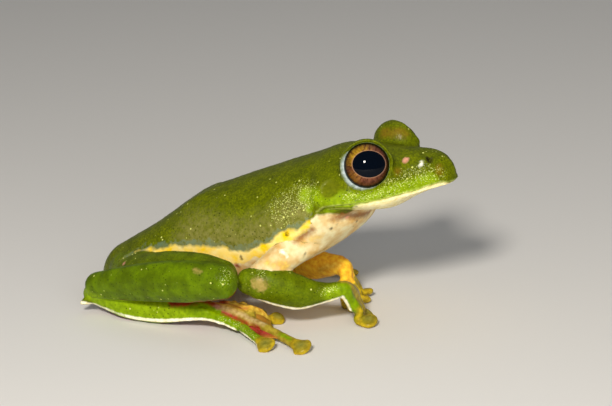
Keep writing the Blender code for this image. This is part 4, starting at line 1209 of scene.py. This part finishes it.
def web_material():
    """Web of living skin: a thin red membrane, wet, with finer veins, paler at its free edge."""
    wet_film = {"Coat Weight": 0.4, "Coat Roughness": 0.12, "Coat IOR": 1.33}
    flesh = {"Subsurface Weight": 0.2, "Subsurface Scale": 0.0005}
    tree, shader = new_material("web_membrane", "#B03020", 0.35, 1.4, **wet_film, **flesh)
    place = add_node(tree, PLACE, output=OBJECT)
    reach = add_node(tree, ATTRIBUTE, output=VALUE, attribute_name="reach")
    veins = add_node(tree, NOISE, {"Vector": place, "Scale": 1 / (0.9 * MM), "Detail": 4.0})
    tone = add_node(tree, RANGE, (veins, 0.35, 0.65))
    colour = add_node(tree, MIX, (tone, linear("#7E1A14"), linear("#B8443A")), data_type="RGBA")
    edge = add_node(tree, RANGE, (reach, 0.7, 1.0, 0.0, 0.8))
    colour = add_node(tree, MIX, (edge, colour, linear("#B8862A")), data_type="RGBA")
    amber = add_node(tree, ATTRIBUTE, output=VALUE, attribute_name="amber")
    share = add_node(tree, MATH, (amber, 0.75), operation="MULTIPLY")
    colour = add_node(tree, MIX, (share, colour, linear("#B08C2A")), data_type="RGBA")
    tree.links.new(colour, shader.inputs["Base Color"])
    bump = add_node(tree, BUMP, {"Height": veins, "Strength": 0.5, "Distance": 0.0001})
    tree.links.new(bump, shader.inputs["Normal"])
    return bpy.data.materials["web_membrane"]


# Eyes and webs

def add_eye(side, finish):
    label = SIDE_NAMES[side]
    centre, forward, up, out = eye_frame(side)
    ball = ball_rings(centre, forward, up, out, EYE_RADIUS, EYE_FRONT_SHARE, EYE_BACK_SHARE, 40, 72)
    shell = Flesh()
    shell.add("eye", *ball)
    points = np.vstack(shell.points)
    faces = shell.faces if side == LEFT else [face[::-1] for face in shell.faces]
    eye = new_object(f"eyeball_{label}", points + SHIFT, faces)
    store(eye.data, "forward_mm", (points - centre) @ forward)
    store(eye.data, "upward_mm", (points - centre) @ up)
    eye.data.materials.append(finish)
    eye.data.shade_smooth()
    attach(eye, "root")
    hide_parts(f"eye_{label}")


def path_at(path, share):
    """The point at that share of a path's length."""
    lengths = np.linalg.norm(np.diff(path, axis=0), axis=1)
    target = share * lengths.sum()
    for start, end, length in zip(path, path[1:], lengths):
        if target <= length:
            return start + (end - start) * target / length
        target -= length
    return path[-1]


def add_webs(finish):
    points, faces, reaches, ambers = [], [], [], []
    rows, columns = 24, 14
    for side in (RIGHT, LEFT):
        for kind in DIGITS:
            paths = [dense_rows([s[:3] for s in stations], 6) for stations in all_digits(kind, side)]
            for number, (one, two) in enumerate(zip(paths, paths[1:])):
                first = len(points)
                ambers += [float(number < len(paths) - 2)] * ((rows + 1) * (columns + 1))
                for i in range(rows + 1):
                    for j in range(columns + 1):
                        across = j / columns
                        reach = WEB_SHARE[kind] * (1 - WEB_SCALLOP * math.sin(math.pi * across)) * i / rows
                        start, end = path_at(one, reach), path_at(two, reach)
                        point = start + (end - start) * across
                        pleat = 0.12 * math.sin(3 * math.pi * across) * i / rows
                        points.append(point + Z_AXIS * (pleat - 0.15 * math.sin(math.pi * across)))
                        reaches.append(i / rows)
                for i in range(rows):
                    for j in range(columns):
                        low = first + i * (columns + 1) + j
                        high = low + columns + 1
                        faces.append((low, low + 1, high + 1, high))
    webs = new_object("webs", np.array(points) + SHIFT, faces)
    store(webs.data, "reach", reaches)
    store(webs.data, "amber", ambers)
    thick = webs.modifiers.new("Thickness", "SOLIDIFY")
    thick.thickness = WEB_THICKNESS * MM
    thick.offset = 0.0
    apply_modifiers(webs)
    webs.data.materials.append(finish)
    webs.data.shade_smooth()
    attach(webs, "root")
    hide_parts(*(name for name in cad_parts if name.startswith(("finger_", "toe_"))))


# Studio

CAMERA_AZIMUTH = 19.0
CAMERA_ELEVATION = 17.0
CAMERA_ROLL = -2.0
CAMERA_DISTANCE = 420.0
CAMERA_TARGET = (0.0, 0.0, 20.0)
PIXELS_PER_MM = 5.45
IMAGE_WIDTH = 612
SENSOR_WIDTH = 36.0
# Soft lamps: place in metres, diameter in metres, watts, tint
LAMPS = {
    "key": ((0.06, -0.42, 0.30), 0.085, 2.5, "#FFF8EE"),
    "fill": ((0.30, -0.45, 0.13), 0.35, 1.0, "#FFFFFF"),
    "top": ((0.05, 0.2, 0.6), 0.5, 0.2, "#FFFFFF"),
}
UNSEEN_LAMP = "fill"  # left out of reflections, so that the eye shows one clean glint


def link_at(obj, place, turn):
    bpy.context.scene.collection.objects.link(obj)
    obj.matrix_world = Matrix.Translation(place) @ turn


def add_camera():
    """Looks from the frog's right and a little from its front, at the photo's angle."""
    azimuth, elevation, roll = map(math.radians, (CAMERA_AZIMUTH, CAMERA_ELEVATION, CAMERA_ROLL))
    level = math.cos(elevation)
    back = np.array([math.sin(azimuth) * level, -math.cos(azimuth) * level, math.sin(elevation)])
    right = np.array([math.cos(azimuth), math.sin(azimuth), 0.0])
    up = np.cross(back, right)
    leaning_right = right * math.cos(roll) + up * math.sin(roll)
    leaning_up = up * math.cos(roll) - right * math.sin(roll)
    camera = bpy.data.cameras.new("camera")
    camera.sensor_width = SENSOR_WIDTH
    camera.lens = SENSOR_WIDTH * CAMERA_DISTANCE / (IMAGE_WIDTH / PIXELS_PER_MM)
    camera.clip_start = 0.01
    obj = bpy.data.objects.new("camera", camera)
    turn = Matrix(np.column_stack([leaning_right, leaning_up, back])).to_4x4()
    link_at(obj, Vector((np.array(CAMERA_TARGET) + SHIFT + back * CAMERA_DISTANCE) * MM), turn)
    bpy.context.scene.camera = obj


def add_studio():
    floor = new_object("floor", [(-2, -2, 0), (2, -2, 0), (2, 2, 0), (-2, 2, 0)], [(0, 1, 2, 3)], 1.0)
    # Matt paper: pale, with no shine
    new_material("matt_paper", "#E2E1DE", 0.9, 1.5)
    floor.data.materials.append(bpy.data.materials["matt_paper"])
    for name, (place, size, power, tint) in LAMPS.items():
        lamp = bpy.data.lights.new(name, "AREA")
        lamp.shape = "DISK"
        lamp.size = size
        lamp.energy = power
        lamp.color = linear(tint)[:3]
        aim = Vector((0, 0, 0.015)) - Vector(place)
        obj = bpy.data.objects.new(name, lamp)
        obj.visible_glossy = name != UNSEEN_LAMP
        link_at(obj, Vector(place), aim.to_track_quat("-Z", "Y").to_matrix().to_4x4())
    world = bpy.data.worlds.new("studio")
    world.use_nodes = True
    backdrop = world.node_tree.nodes["Background"].inputs
    backdrop["Color"].default_value = linear("#E8E8E8")
    backdrop["Strength"].default_value = 0.22
    bpy.context.scene.world = world
    bpy.context.scene.view_settings.view_transform = "Standard"


def main():
    add_camera()
    add_studio()
    flesh = gather_flesh()
    body = build_skin(flesh)
    paint_masks(flesh, body)
    mesh = body.data
    set_positions(mesh, (positions(mesh) + SHIFT) * MM)
    mesh.materials.clear()
    mesh.materials.append(skin_material())
    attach(body, "root")
    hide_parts(*(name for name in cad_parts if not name.startswith("eye_")))
    finish = eye_material()
    for side in (RIGHT, LEFT):
        add_eye(side, finish)
    add_webs(web_material())


main()
